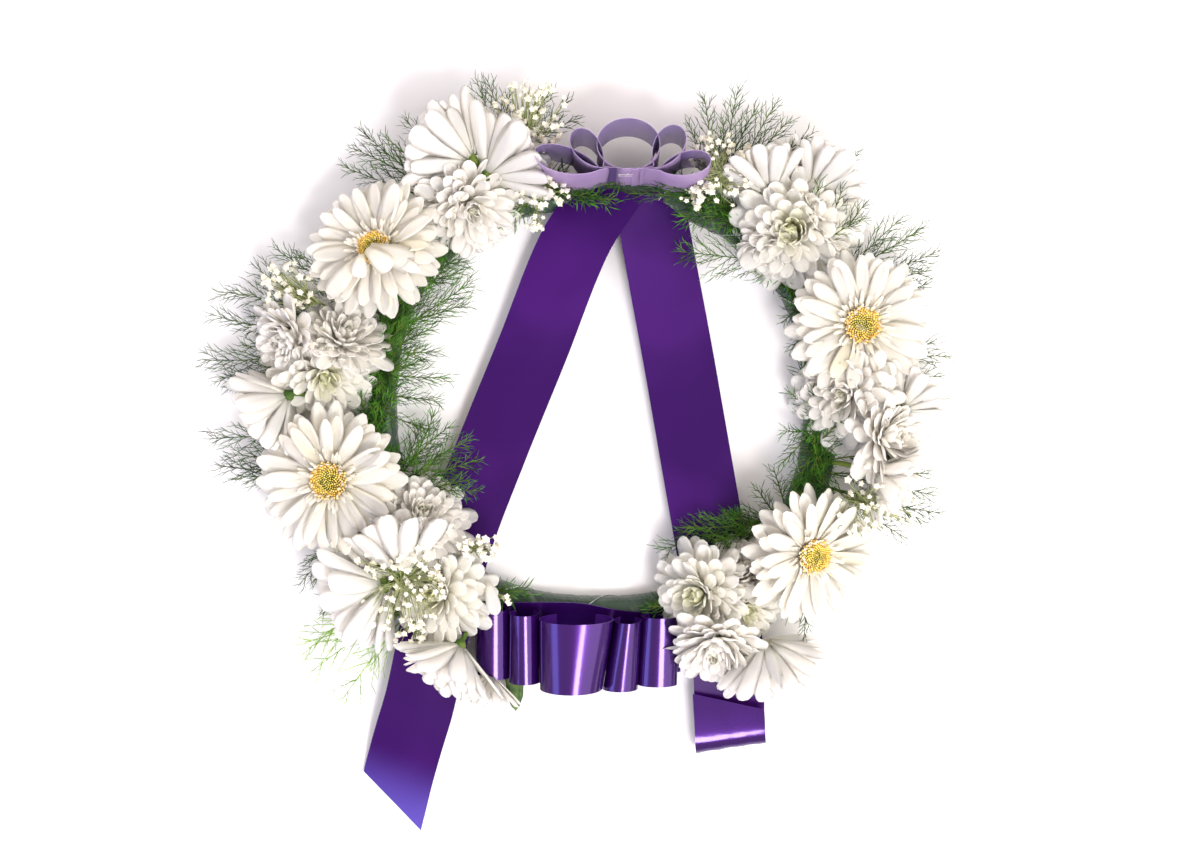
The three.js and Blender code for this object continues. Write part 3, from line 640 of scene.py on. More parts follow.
gerberas = {
    "upper_left": (145.8, 187, 96, 140, 14), "lower_left": (196.3, 194, 104, 200, 8),
    "upper_right": (16.5, 188, 102, 330, 8), "lower_right": (324, 179.5, 98, 335, 28),
}
gerberaShape = {"fullSize": 100, "scale": 1.02, "spin": 2.1, "collarLift": 2.5}
gerbera = {"Petals": gerberaPetals, "Count": 60, "Inner tilt": radians(10), "Outer tilt": radians(-5),
           "Tilt law": 1.0, "Inner length": 0.88, "Inner radius": 0.007, "Base radius": 0.009,
           "Base height": 0.003, "Spread": 0.09, "Variants": 5.0, "Material": creamPetal}
collar = {**gerbera, "Petals": collarPetals, "Count": 70, "Inner tilt": radians(62),
          "Outer tilt": radians(14), "Inner length": 0.7, "Inner radius": 0.009, "Base radius": 0.010,
          "Spread": 0.2, "Variants": 2.0}
for i, (name, flower) in enumerate(gerberas.items()):
    _, _, size, leanTo, lean = flower
    heart = heartOf(flower, stance["gerberaSeat"])
    scale = size / gerberaShape["fullSize"] * gerberaShape["scale"]
    place = axisPlace(heart, leanTo, lean, i * gerberaShape["spin"])
    piece = grown(f"gerberaHead.{name}", petalTree, {**gerbera, "Seed": 900 + i * 20, "Size": scale}, place)
    keep(piece, "cream_petal", f"gerbera_{name}")
    place = axisPlace(heart + directionOf(leanTo, lean) * gerberaShape["collarLift"] * mm, leanTo, lean)
    piece = grown(f"gerberaCollar.{name}", petalTree, {**collar, "Seed": 700 + i * 20, "Size": scale}, place)
    keep(piece, "cream_petal")
print("gerberas grown")


def discTree():
    tree, graph, given = treeOf("floretDisc", ["Floret", "Count", "Seed", "Radius", "Dome", "Material"])
    index, chance = chancer(graph, given)
    t = index / given["Count"]
    reach, turn = given["Radius"] * graph.maths("SQRT", t + 0.002), index * goldenAngle
    place = graph.joined(reach * graph.maths("COSINE", turn), reach * graph.maths("SINE", turn),
                         given["Dome"] * (1 - t ** 2))
    setOut(graph, given, place, 1 - t, {
        "Instance": shapeOf(graph, given["Floret"]),
        "Rotation": graph.joined(0.0, t * 0.9, turn), "Scale": chance(0.8, 1.5, 0) * (0.75 + 0.45 * t)})
    return tree


def turnedMesh(name, profile, sides, smooth=True):
    # a closed form turned about +Z from its lower pole to its upper one; a third number scallops that ring
    rings = [(*row, 0)[:3] for row in profile[1:-1]]
    verts, faces = [Vector((0, 0, profile[0][1]))], []
    for radius, height, wave in rings:
        for k in range(sides):
            a, r = 2 * pi * k / sides, radius * (1 + wave * (1 if k % 2 else -1))
            verts.append(Vector((r * cos(a), r * sin(a), height)))
    verts.append(Vector((0, 0, profile[-1][1])))
    top = 1 + (len(rings) - 1) * sides
    for k in range(sides):
        n = (k + 1) % sides
        faces.append((0, 1 + n, 1 + k))
        for r in range(len(rings) - 1):
            a, b = 1 + r * sides, 1 + (r + 1) * sides
            faces.append((a + k, a + n, b + n, b + k))
        faces.append((len(verts) - 1, top + k, top + n))
    return toObject(name, [v * mm for v in verts], faces, smooth=smooth)


disc = {"count": 210, "lift": 0.13, "reach": 0.225, "dome": 0.06}  # all but the count as shares of its radius
budForm = [(0, -0.6), (0.35, -0.5), (0.5, 0.9), (0.62, 1.5), (0.3, 1.9), (0, 1.7)]
floretBud = turnedMesh("floretBud", budForm, 6)
discGrowth = discTree()
for i, (name, flower) in enumerate(gerberas.items()):
    _, _, size, leanTo, lean = flower
    radius = size / 2
    heart = heartOf(flower, stance["gerberaSeat"]) + directionOf(leanTo, lean) * disc["lift"] * radius * mm
    values = {"Floret": floretBud, "Count": disc["count"], "Seed": 70 + i, "Material": goldDisc,
              "Radius": disc["reach"] * radius * mm, "Dome": disc["dome"] * radius * mm}
    piece = grown(f"gerberaFlorets.{name}", discGrowth, values, axisPlace(heart, leanTo, lean))
    keep(piece, "gerbera_disc", f"gerbera_disc_{name}")
bpy.data.objects.remove(floretBud)
print("gerbera discs grown")

ribbon = {"width": 50, "thickness": 0.35, "across": 12, "cutFrom": 0.6}


def smoothPath(points, count):
    # an even run of points on a smooth curve through the given ones
    def tangent(i):
        return (points[min(i + 1, len(points) - 1)] - points[max(i - 1, 0)]) / 2
    run = []
    for i in range(len(points) - 1):
        a, b, span = points[i], points[i + 1], (points[i + 1] - points[i]).length
        before = (a - points[i - 1]).length if i else span
        after = (points[i + 2] - b).length if i + 2 < len(points) else span
        m0, m1 = tangent(i) * 2 * span / (before + span), tangent(i + 1) * 2 * span / (after + span)
        for k in range(12):
            t = k / 12
            run.append(a * (2 * t ** 3 - 3 * t ** 2 + 1) + m0 * (t ** 3 - 2 * t ** 2 + t)
                       + b * (3 * t ** 2 - 2 * t ** 3) + m1 * (t ** 3 - t ** 2))
    run.append(points[-1])
    reach = [0.0]
    for a, b in zip(run, run[1:]):
        reach.append(reach[-1] + (b - a).length)
    path, k = [], 0
    for i in range(count):
        goal = reach[-1] * i / (count - 1)
        while k < len(run) - 2 and reach[k + 1] < goal:
            k += 1
        path.append(run[k].lerp(run[k + 1], (goal - reach[k]) / (reach[k + 1] - reach[k])))
    return path, reach[-1]


def ribbonPart(points, acrossAt, slices, width=ribbon["width"], endCut=0, ripple=None):
    # verts, faces, uvs, sides and length of one closed strip; points in millimetres about the ring
    path, length = smoothPath([Vector(p) for p in points], slices + 1)
    n, cutFrom = ribbon["across"], ribbon["cutFrom"]
    verts, faces, uvs, kinds = [], [], [], []
    for under in (0, 1):
        for i in range(slices + 1):
            for j in range(n + 1):
                v = j / n - 0.5
                cut = 1 - abs(endCut) / length * (0.5 - copysign(1, endCut) * v)
                along = i / slices
                if along >= cutFrom:
                    along *= 1 - (1 - cut) * (along - cutFrom) / (1 - cutFrom)
                spot = along * slices
                k = min(int(spot), slices - 1)
                point = path[k].lerp(path[k + 1], spot - k)
                tangent = (path[min(k + 2, slices)] - path[max(k - 1, 0)]).normalized()
                across = acrossAt(along)
                normal = tangent.cross(across).normalized()
                lift = (0.5 - under) * ribbon["thickness"] + (ripple(along, v) if ripple else 0)
                verts.append(at(*(point + across * v * width + normal * lift)))
                uvs.append((along * length / 1000, v * width / 1000))
    row, sheet = n + 1, (slices + 1) * (n + 1)
    for i in range(slices):
        for j in range(n):
            a = i * row + j
            faces += [(a, a + 1, a + row + 1, a + row),
                      (a + sheet, a + row + sheet, a + row + 1 + sheet, a + 1 + sheet)]
            kinds += [0, 1]
    for i in range(slices):
        a, b = i * row, i * row + n
        faces += [(a, a + row, a + row + sheet, a + sheet), (b, b + sheet, b + row + sheet, b + row)]
    for j in range(n):
        a, b = j, slices * row + j
        faces += [(a, a + sheet, a + 1 + sheet, a + 1), (b, b + 1, b + 1 + sheet, b + sheet)]
    kinds += [0] * (len(faces) - len(kinds))
    return verts, faces, uvs, kinds, length


def ribbonPiece(name, parts, face, back, flip=False):
    verts, faces, uvs, kinds, length = [], [], [], [], 0
    for partVerts, partFaces, partUvs, partKinds, partLength in parts:
        faces += [tuple(c + len(verts) for c in f) for f in partFaces]
        verts += partVerts
        uvs += [(u + length / 1000 + 0.1, v) for u, v in partUvs]
        kinds += [1 - k if flip else k for k in partKinds]
        length += partLength
    made = toObject(name, verts, faces, uvs)
    made.data.materials.append(face)
    made.data.materials.append(back)
    made.data.polygons.foreach_set("material_index", kinds)
    made.data.set_sharp_from_angle(angle=radians(50))
    return made, length


def tailAcross(heading, roll, fade=0.3):
    level = Vector((cos(radians(heading)), sin(radians(heading)), 0))

    def across(t):
        lift = radians(roll) * max(0, 1 - t / fade) ** 2
        return level * cos(lift) + Vector((0, 0, 1)) * sin(lift)
    return across


tails = {
    "left_tail": {
        "points": [(8, 150, 23), (-17.5, 112.7, 20), (-47.6, 37.8, 15.5), (-77.7, -36.4, 15),
                   (-101.5, -100, 18), (-116, -158, 19.4), (-126.7, -209, 17), (-136, -240, 12),
                   (-143, -264, 4.2), (-148, -284, 1.6), (-151, -296, 2.6)],
        "across": tailAcross(-20, 16), "slices": 70, "endCut": 26},
    "right_tail": {
        "points": [(34, 147, 19.8), (41, 108, 18), (55, 33, 14.5), (69, -47, 15), (81, -116, 18.4),
                   (89, -163, 19), (91.3, -203, 13), (92, -228, 5.5), (92.6, -240, 4.2), (92.9, -245, 11.5),
                   (92, -240, 17.4), (91.5, -228, 18.6), (90, -202, 18.4)],
        "across": tailAcross(8, -14), "slices": 110, "endCut": -18},
}


def tailRipple(t, v):
    # a slight lengthwise crown, with lazy waves at the edges
    return 0.35 * cos(pi * v) + 0.22 * sin(14 * t + 5 * v) * abs(v) * 2


for name, tail in tails.items():
    part = ribbonPart(tail["points"], tail["across"], tail["slices"], endCut=tail["endCut"],
                      ripple=tailRipple)
    piece, length = ribbonPiece("ribbon." + name, [part], tailSatin, bowSatin)
    keep(piece, "purple_ribbon", name)
    length * mm
    0.05 * (length - abs(tail["endCut"]) / 2) * mm

topBow = {"height": 46.8, "tilt": radians(7), "knotY": 155, "knotWidth": 49.2, "middle": 19.6,
          "tuckedBy": 10, "tuckedY": 155.9}
bowUp = Vector((0, sin(topBow["tilt"]), cos(topBow["tilt"])))


def bowPoint(x, y):
    return Vector((x, y, topBow["height"] - (y - topBow["knotY"]) * tan(topBow["tilt"])))


def teardrop(pinchX, pinchY, heading, length, breadth):
    # a loop whose two ends run on behind the middle one
    spots, a = [], radians(heading)
    inward = copysign(topBow["tuckedBy"], topBow["middle"] - pinchX)
    tucked = bowPoint(pinchX + inward, topBow["tuckedY"])
    for i in range(24):
        turn = 2 * pi * (0.035 + 0.93 * i / 23)
        ahead = length * (1 - cos(turn)) / 2
        side = -breadth / 2 * sin(turn) * sqrt(sin(turn / 2)) * 1.12
        spots.append(bowPoint(pinchX + ahead * cos(a) - side * sin(a),
                              pinchY + ahead * sin(a) + side * cos(a)))
    return [tucked, *spots, tucked + Vector((0, 0.5, 0))]


def roundLoop(x, y, halfWide, halfTall):
    turns = [radians(-84 + 348 * i / 29) for i in range(30)]
    return [bowPoint(x + halfWide * cos(t), y + halfTall * sin(t)) for t in turns]


def loopRipple(t, v):
    return 0.5 * sin(9 * t + 3 * v) * v


bowLoops = [
    roundLoop(topBow["middle"], topBow["knotY"] + 17.8, 21.5, 17.8), teardrop(1.5, 156.5, 126, 32, 19),
    teardrop(-0.5, 155, 164, 46, 19), teardrop(37.5, 156.5, 58, 33, 21), teardrop(40.5, 155, 12, 36, 17)]
loops = [ribbonPart(spots, lambda t: bowUp, 48, ripple=loopRipple) for spots in bowLoops]
knotLine = [bowPoint(x, topBow["knotY"] + rise) for x, rise in ((8, 1.6), (15, 0.9), (24, 0.9), (31, 1.6))]
knot = ribbonPart(knotLine, lambda t: bowUp, 8, topBow["knotWidth"])
piece, length = ribbonPiece("ribbon.top_bow", [*loops, knot], litTopBowSatin, litTopBowInside, flip=True)
keep(piece, "purple_ribbon", "top_bow")
length * mm


def downAt(tip):
    # the way a ribbon on edge runs when its top leans back by tip degrees
    return Vector((0, -cos(radians(tip)), -sin(radians(tip))))


bottomBow = {"bandY": -141, "bandZ": 23.2, "bandTip": 18, "bandWidth": 49.2, "bandHalf": 24.6, "tip": 9,
             "footZ": 20.5, "width": 49.4, "footTurn": 58, "steps": 22, "extraRise": 0.35}
bandLine = [(-88, 1.5), (-62, 0), (-36, -0.5), (-12, 0.5), (10, 5), (28, 7), (42, 5), (57, 3.5)]
bandDown, archDown = downAt(bottomBow["bandTip"]), downAt(bottomBow["tip"])
archOut = Vector((0, archDown.z, -archDown.y))
arches = [  # left and right ends at the upper rim, at the lower one, height, and the upper rim's place
    ((-86, -64), (-87.5, -64.3), 15, -144), ((-63.5, -43), (-64.3, -42), 21, -146),
    ((-42.6, 9.5), (-42, 1.6), 33, -149), ((10, 29), (1.6, 26.5), 22, -151),
    ((29, 55), (26.5, 54), 17, -148.5)]


def archPart(upper, lower, height, rimY):
    # a horseshoe that stands on the band, narrower and a little higher at its lower rim
    steps, footTurn, width = bottomBow["steps"], bottomBow["footTurn"], bottomBow["width"]
    foot, rims = 1 - sin(radians(footTurn)), []
    rise = height + ((upper[1] - upper[0]) - (lower[1] - lower[0])) * bottomBow["extraRise"]
    turns = [radians(-footTurn + (180 + 2 * footTurn) * i / steps) for i in range(steps + 1)]
    for (left, right), high, down in ((upper, height, 0), (lower, rise, width)):
        middle, half = (left + right) / 2, (right - left) / 2
        start = Vector((0, rimY, bottomBow["footZ"])) + archDown * down
        rims.append([start + Vector((middle - half * cos(t), 0, 0))
                     + archOut * high * (1 + sin(t) - foot) / (2 - foot) for t in turns])

    def across(t):
        k = min(int(t * steps), steps - 1)
        top, bottom = (rim[k].lerp(rim[k + 1], t * steps - k) for rim in rims)
        return (bottom - top) / width
    return ribbonPart([(a + b) / 2 for a, b in zip(*rims)], across, 48, width)


def bandSpot(x, down):
    return Vector((x, bottomBow["bandY"], bottomBow["bandZ"])) + bandDown * (bottomBow["bandHalf"] + down)


band = ribbonPart([bandSpot(*spot) for spot in bandLine], lambda t: bandDown, 40, bottomBow["bandWidth"])
parts = [band, *(archPart(*arch) for arch in arches)]
piece, length = ribbonPiece("ribbon.bottom_bow", parts, bowSatin, litBowInside, flip=True)
keep(piece, "purple_ribbon", "bottom_bow")
length * mm
print("ribbons laid")


def needleObject(name, length, radius, bend):
    # a slender bent spike with a closed foot
    verts, faces = [], []
    for u, share in ((0, 0.7), (0.45, 1.0), (0.8, 0.6)):
        for k in range(3):
            a = 2 * pi * k / 3
            side, ahead = radius * share * cos(a), radius * share * sin(a) + bend * u * u
            verts.append(Vector((side, ahead, u * length)) * mm)
    verts.append(Vector((0, bend, length)) * mm)
    for r in (0, 3):
        for k in range(3):
            n = (k + 1) % 3
            faces.append((r + k, r + n, r + 3 + n, r + 3 + k))
    faces += [(6, 7, 9), (7, 8, 9), (8, 6, 9), (2, 1, 0)]
    return toObject(name, verts, faces)


def frondTree():
    # needles leave each twig all round it, leaning forward
    tree, graph, given = treeOf("feathering", ["Needle", "Spacing", "Lean", "Low size", "High size",
                                               "Stem radius", "Seed", "Material", "Stem material"])
    index, chance = chancer(graph, given)
    dotted = graph.node("GeometryNodeCurveToPoints", {"mode": "LENGTH"},
                        {"Curve": given["Geometry"], "Length": given["Spacing"]})
    spin = graph.joined(0.0, given["Lean"] * chance(0.6, 1.3, 1), index * goldenAngle + chance(-0.5, 0.5, 2))
    turned = graph.node("FunctionNodeRotateRotation", {"rotation_space": "LOCAL"},
                        {"Rotation": dotted["Rotation"], "Rotate By": spin})
    withStems(graph, given, graph.node("GeometryNodeInstanceOnPoints", None, {
        "Points": dotted, "Instance": shapeOf(graph, given["Needle"]), "Rotation": turned,
        "Scale": chance(given["Low size"], given["High size"], 3)}))
    return tree


def frondSplines(rng, foot, tip, style):
    # one arched spine with side twigs by turns; foot and tip in millimetres about the ring
    along, tipMost = tip - foot, 0.97
    length = along.length
    middle = foot.lerp(tip, 0.5) + Vector((0, 0, style["arch"] * length))
    middle = middle + Vector((-along.y, along.x, 0)) * rng.uniform(-0.12, 0.12)

    def spine(t):
        return foot * (1 - t) ** 2 + middle * 2 * t * (1 - t) + tip * t * t

    splines = [[(spine(k / 9), 1.0 - 0.65 * k / 9) for k in range(10)]]
    count = max(4, int(length / style["step"]))
    for k in range(count):
        t = style["bare"] + (tipMost - style["bare"]) * (k + rng.uniform(-0.3, 0.3)) / count
        t = min(max(t, 0.02), tipMost)
        ahead = (spine(min(t + 0.03, 1)) - spine(t - 0.02)).normalized()
        side = Vector((-ahead.y, ahead.x, 0)).normalized() * (1 if k % 2 else -1)
        lean = radians(style["spread"] * rng.uniform(0.7, 1.25))
        rise = Vector((0, 0, rng.uniform(-0.25, 0.3)))
        heading = (ahead * cos(lean) + side * sin(lean) + rise).normalized()
        reach = style["twig"] * length * (1.1 - t) ** style["taper"] * rng.uniform(0.7, 1.2)
        reach = min(max(reach, 5.0), style["longest"])
        turn = ahead * 0.5 * reach * 0.3
        splines.append([(spine(t) + heading * reach * s + turn * s * s, 0.55 - 0.3 * s)
                        for s in (0, 0.3, 0.6, 0.85, 1.0)])
    return splines


def toFrame(splines, lowest=1.6):
    # keeps each point over the table and turns millimetres into metres
    return [[(at(p.x, p.y, max(p.z, lowest)), r) for p, r in spline] for spline in splines]


# share of a frond's length left bare, a twig every step mm, the twigs' lean, length and taper, and the arch
plumose = {"bare": 0.12, "step": 3.4, "spread": 40, "twig": 0.34, "taper": 0.8, "longest": 22, "arch": 0.10}
wiry = {"bare": 0.2, "step": 5.5, "spread": 30, "twig": 0.28, "taper": 0.7, "longest": 20, "arch": 0.08}
airy = {"bare": 0.1, "step": 9.0, "spread": 34, "twig": 0.36, "taper": 0.6, "longest": 28, "arch": 0.05}
dense = {"bare": 0.0, "step": 2.4, "spread": 34, "twig": 0.3, "taper": 0.5, "longest": 15, "arch": 0.14}
wispy = {"bare": 0.1, "step": 4.0, "spread": 24, "twig": 0.34, "taper": 0.6, "longest": 30, "arch": 0.10}

ferns = {  # the style, then each frond from its foot to its tip, in millimetres about the ring
    "top_left": (wiry, [(-70, 150, 20, -86, 224, 46), (-60, 160, 25, -78, 222, 54),
        (-75, 165, 20, -62, 216, 50), (-60, 175, 30, -22, 211, 42), (-60, 175, 30, -14, 198, 36),
        (-62, 165, 30, -34, 216, 48), (-110, 140, 20, -176, 178, 34), (-110, 145, 20, -168, 190, 40),
        (-115, 150, 22, -150, 184, 44), (-110, 140, 20, -182, 166, 26), (-90, 160, 30, -136, 196, 50),
        (-70, 150, 18, -10, 152, 32), (-60, 130, 14, -105, 108, 18), (-62, 128, 14, -128, 120, 22),
        (-90, 120, 12, -120, 96, 16)]),
    "left_outer": (wiry, [(-150, 50, 14, -243, 96, 30), (-160, 50, 14, -270, 78, 22),
        (-160, 50, 14, -274, 62, 24), (-150, 55, 16, -228, 108, 36), (-160, 40, 14, -282, 30, 18),
        (-160, 35, 14, -264, 14, 18), (-160, 60, 20, -214, 104, 40), (-165, 50, 14, -250, 52, 26),
        (-160, 40, 14, -256, 40, 18), (-165, 55, 14, -236, 70, 30), (-160, 20, 14, -272, 18, 12)]),
    "left_inner": (wispy, [(-158, 36, 14, -112, 36, 22), (-160, 20, 14, -106, 17, 22),
        (-158, 40, 18, -89, 85, 24), (-156, 50, 16, -92, 70, 20), (-150, 56, 14, -100, 108, 24),
        (-158, 30, 20, -114, 54, 28), (-162, 14, 16, -122, 30, 26), (-152, 70, 14, -96, 92, 16),
        (-160, 10, 12, -128, 60, 36), (-156, 46, 22, -130, 84, 38), (-158, 4, 14, -112, 0, 20),
        (-158, -4, 14, -118, -20, 18), (-154, 60, 20, -118, 112, 28), (-160, 24, 24, -132, 62, 40),
        (-150, 80, 10, -92, 100, 14), (-158, 12, 20, -124, 40, 30)]),
    "lower_left_outer": (wiry, [(-160, -30, 14, -278, -26, 14), (-160, -40, 14, -272, -44, 12),
        (-165, -40, 16, -256, -52, 16), (-150, -80, 14, -208, -112, 14), (-150, -90, 14, -204, -128, 12),
        (-150, -90, 12, -196, -150, 10), (-160, -35, 14, -262, -36, 20), (-150, -80, 12, -214, -130, 8)]),
    "lower_left_inner": (plumose, [(-140, -60, 12, -84, -40, 24), (-140, -60, 14, -90, -26, 30),
        (-140, -50, 12, -104, -16, 28), (-140, -50, 14, -116, -6, 26), (-140, -65, 16, -92, -54, 34),
        (-138, -60, 20, -106, -34, 38), (-142, -50, 12, -126, -14, 20), (-130, -60, 22, -84, -62, 36)]),
    "lime": (airy, [(-120, -130, 12, -214, -172, 12), (-130, -140, 10, -206, -192, 6),
        (-130, -140, 10, -184, -212, 6), (-125, -140, 14, -196, -164, 20), (-125, -145, 10, -164, -190, 8),
        (-110, -150, 10, -140, -200, 6), (-130, -130, 12, -212, -180, 8)]),
    "top_right": (wiry, [(80, 140, 18, 72, 212, 46), (85, 140, 18, 96, 218, 48), (85, 145, 20, 110, 206, 44),
        (90, 140, 18, 124, 210, 40), (80, 150, 22, 60, 196, 40), (90, 150, 26, 132, 196, 46),
        (110, 140, 24, 180, 172, 44), (85, 140, 22, 84, 196, 54), (30, 158, 24, 0, 150, 32),
        (80, 140, 20, 20, 146, 30), (80, 142, 24, 40, 152, 40), (100, 150, 26, 148, 186, 50)]),
    "right_outer": (wiry, [(150, 80, 18, 238, 106, 32), (150, 80, 20, 226, 122, 36),
        (155, 70, 20, 210, 128, 44), (155, 80, 20, 230, 92, 38), (150, 90, 24, 184, 138, 50),
        (160, 60, 16, 232, 84, 30), (160, 20, 14, 246, 32, 26), (160, 15, 14, 240, 18, 24),
        (165, 20, 16, 236, 44, 30), (150, 100, 30, 168, 148, 52), (140, 110, 40, 152, 152, 56),
        (140, 100, 40, 182, 126, 58)]),
    "right_inner": (plumose, [(150, -10, 14, 132, 8, 30), (150, -20, 14, 128, -20, 30),
        (150, -20, 16, 126, -44, 28), (152, -20, 20, 148, 10, 44), (152, -30, 20, 134, -60, 32),
        (150, 70, 14, 128, 56, 22), (150, 75, 14, 130, 84, 20), (152, -30, 24, 172, -10, 50),
        (150, -40, 14, 132, -74, 22), (150, 60, 12, 134, 36, 22), (148, 90, 14, 118, 92, 20),
        (148, 95, 14, 54, 106, 24)]),
    "lower_right_outer": (wiry, [(160, -50, 14, 236, -66, 28), (160, -60, 14, 228, -84, 26),
        (165, -50, 16, 230, -50, 32), (165, -60, 18, 216, -96, 24), (160, -60, 14, 240, -78, 20),
        (165, -40, 22, 214, -40, 44), (140, -120, 20, 142, -166, 34), (140, -120, 24, 128, -150, 40)]),
    "lower_right_inner": (plumose, [(130, -80, 12, 42, -104, 26), (130, -80, 14, 56, -88, 30),
        (125, -90, 14, 86, -78, 32), (125, -90, 14, 94, -86, 36), (125, -95, 16, 62, -112, 34),
        (120, -90, 18, 76, -98, 38), (115, -110, 18, 52, -134, 34), (125, -80, 14, 110, -60, 26),
        (130, -70, 12, 122, -46, 22)]),
}
needle = needleObject("needle", 6.5, 0.26, 0.9)
feathering = frondTree()
feathers = {"Needle": needle, "Spacing": 1.8 * mm, "Lean": radians(30), "Low size": 0.5,
            "High size": 1.15, "Stem radius": 0.6 * mm, "Material": fernGreen, "Stem material": stemGreen}
limeFeathers = {"Spacing": 3.2 * mm, "Material": limeGreen, "Stem material": limeGreen}
ringFeathers = {"Spacing": 3.1 * mm, "Lean": radians(38), "Low size": 0.9, "High size": 1.9,
                "Stem radius": 0.75 * mm, "Seed": 40, "Material": brightFern}
for i, (name, (style, fronds)) in enumerate(ferns.items()):
    rng, splines = random.Random(i + 1), []
    for frond in fronds:
        splines += frondSplines(rng, Vector(frond[:3]), Vector(frond[3:]), style)
    lime = name == "lime"
    own = limeFeathers if lime else {"Material": brightFern} if "inner" in name else {}
    values = {**feathers, "Seed": i, **own}
    piece = finished("fern." + name, curveObject("twigs", toFrame(splines)), feathering, values)
    keep(piece, "lime_fern" if lime else "fern", "fern_" + name)

# short dense tufts lie along the ring between the heads
greens = {"arcs": ((97, 246), (-64, 66)), "step": 3.4, "reach": 34, "sway": 15, "scatter": 6, "footZ": 17,
          "tipZ": (20, 32)}
rng, splines = random.Random(77), []
for low, high in greens["arcs"]:
    for k in range(int((high - low) / greens["step"])):
        angle = radians(low + k * greens["step"] + rng.uniform(-2, 2))
        ahead = angle + (greens["reach"] / ring["mean"]) * (1 if k % 2 else -1)
        near = ringReach(angle) + rng.uniform(-greens["scatter"], greens["scatter"])
        far = ringReach(ahead) + rng.uniform(-1, 1) * greens["sway"]
        foot = Vector((near * cos(angle), near * sin(angle), greens["footZ"]))
        tip = Vector((far * cos(ahead), far * sin(ahead), rng.uniform(*greens["tipZ"])))
        splines += frondSplines(rng, foot, tip, dense)
values = {**feathers, **ringFeathers}
keep(finished("fern.ringGreens", curveObject("twigs", toFrame(splines)), feathering, values), "fern")
bpy.data.objects.remove(needle)
print("ferns grown")


def breathTree():
    # a floret at the end of every stalk
    tree, graph, given = treeOf("breathSpray", ["Floret", "Low size", "High size", "Stem radius", "Seed",
                                                "Material", "Stem material"])
    index, chance = chancer(graph, given)
    ends = graph.node("GeometryNodeCurveEndpointSelection", None, {"Start Size": 0, "End Size": 1})
    turn = graph.node("FunctionNodeRandomValue", {"data_type": "FLOAT_VECTOR"},
                      {0: (-0.8, -0.8, 0.0), 1: (0.8, 0.8, 6.28), "ID": index, "Seed": given["Seed"]})
    withStems(graph, given, graph.node("GeometryNodeInstanceOnPoints", None, {
        "Points": given["Geometry"], "Selection": ends, "Instance": shapeOf(graph, given["Floret"]),
        "Rotation": turn, "Scale": chance(given["Low size"], given["High size"], 1)}))
    return tree


breath = {  # clusters of each spray: foot, middle of the crown, its half widths and its share of the florets
    "upper_left": [((-60, 150, 20), (-48, 197, 50), (27, 26, 12), 62),
                   ((-45, 150, 20), (-40, 150, 42), (20, 17, 8), 30),
                   ((-45, 150, 20), (-44, 124, 34), (8, 8, 5), 7)],
    "left": [((-165, 55, 16), (-217, 79, 44), (18, 18, 10), 30)],
    "lower_left": [((-125, -110, 24), (-140, -128, 58), (34, 32, 14), 60),
                   ((-105, -105, 24), (-82, -100, 52), (16, 11, 8), 22),
                   ((-95, -125, 24), (-64, -138, 34), (4, 3, 3), 3),
                   ((-125, -130, 22), (-130, -164, 44), (12, 9, 8), 12)],
    "upper_right": [((75, 140, 18), (86, 162, 46), (24, 27, 12), 52),
                    ((75, 150, 22), (66, 146, 36), (10, 12, 8), 14)],
    "right": [((155, -60, 20), (190, -73, 56), (30, 25, 12), 34)],
}
fullness = 1.8  # florets for each share
# two layers of five small rounded petals on a green-white cup, one closed form
floret = turnedMesh("floret", [(0, -2.0), (0.9, -1.5), (1.7, -0.3, 0.08), (2.4, 0.6, 0.2), (2.0, 1.2, 0.16),
                               (1.5, 0.9, -0.2), (0.9, 1.6, -0.25), (0, 1.1)], 10, smooth=False)
spraying = breathTree()
for i, (name, clusters) in enumerate(breath.items()):
    rng, splines = random.Random(60 + i), []
    for foot, crown, (wide, deep, high), share in clusters:
        foot, crown = Vector(foot), Vector(crown)
        fork = foot.lerp(crown, 0.55)
        splines.append([(foot, 1.0), (fork, 0.8), (crown - Vector((0, 0, 4)), 0.5)])
        for k in range(int(share * fullness)):
            reach, turn = sqrt(rng.random()), rng.uniform(0, 2 * pi)
            tip = crown + Vector((wide * reach * cos(turn), deep * reach * sin(turn),
                                  high * rng.uniform(-1, 1) * (1.2 - reach)))
            bend = fork.lerp(tip, rng.uniform(0.4, 0.6)) + Vector((rng.uniform(-3, 3), rng.uniform(-3, 3), 3))
            splines.append([(fork.lerp(crown, rng.uniform(0, 0.8)), 0.5), (bend, 0.4), (tip, 0.3)])
    values = {"Floret": floret, "Low size": 0.6, "High size": 1.15, "Stem radius": 0.8 * mm, "Seed": i * 5,
              "Material": breathWhite, "Stem material": breathStem}
    piece = finished("breath." + name, curveObject("stalks", toFrame(splines)), spraying, values)
    keep(piece, "babys_breath", "babys_breath_" + name)
bpy.data.objects.remove(floret)
print("baby's breath grown")

# the wrapped band's section, across and up, from its inner foot once round
bandCorners = [(-9.5, 0.15), (9.5, 0.15), (12.6, 3.4), (13, 6), (12, 12.2), (9.2, 16.6), (5.5, 18),
               (-5.5, 18), (-9.2, 16.6), (-12, 12.2), (-13, 6), (-12.6, 3.4), (-9.5, 0.15)]


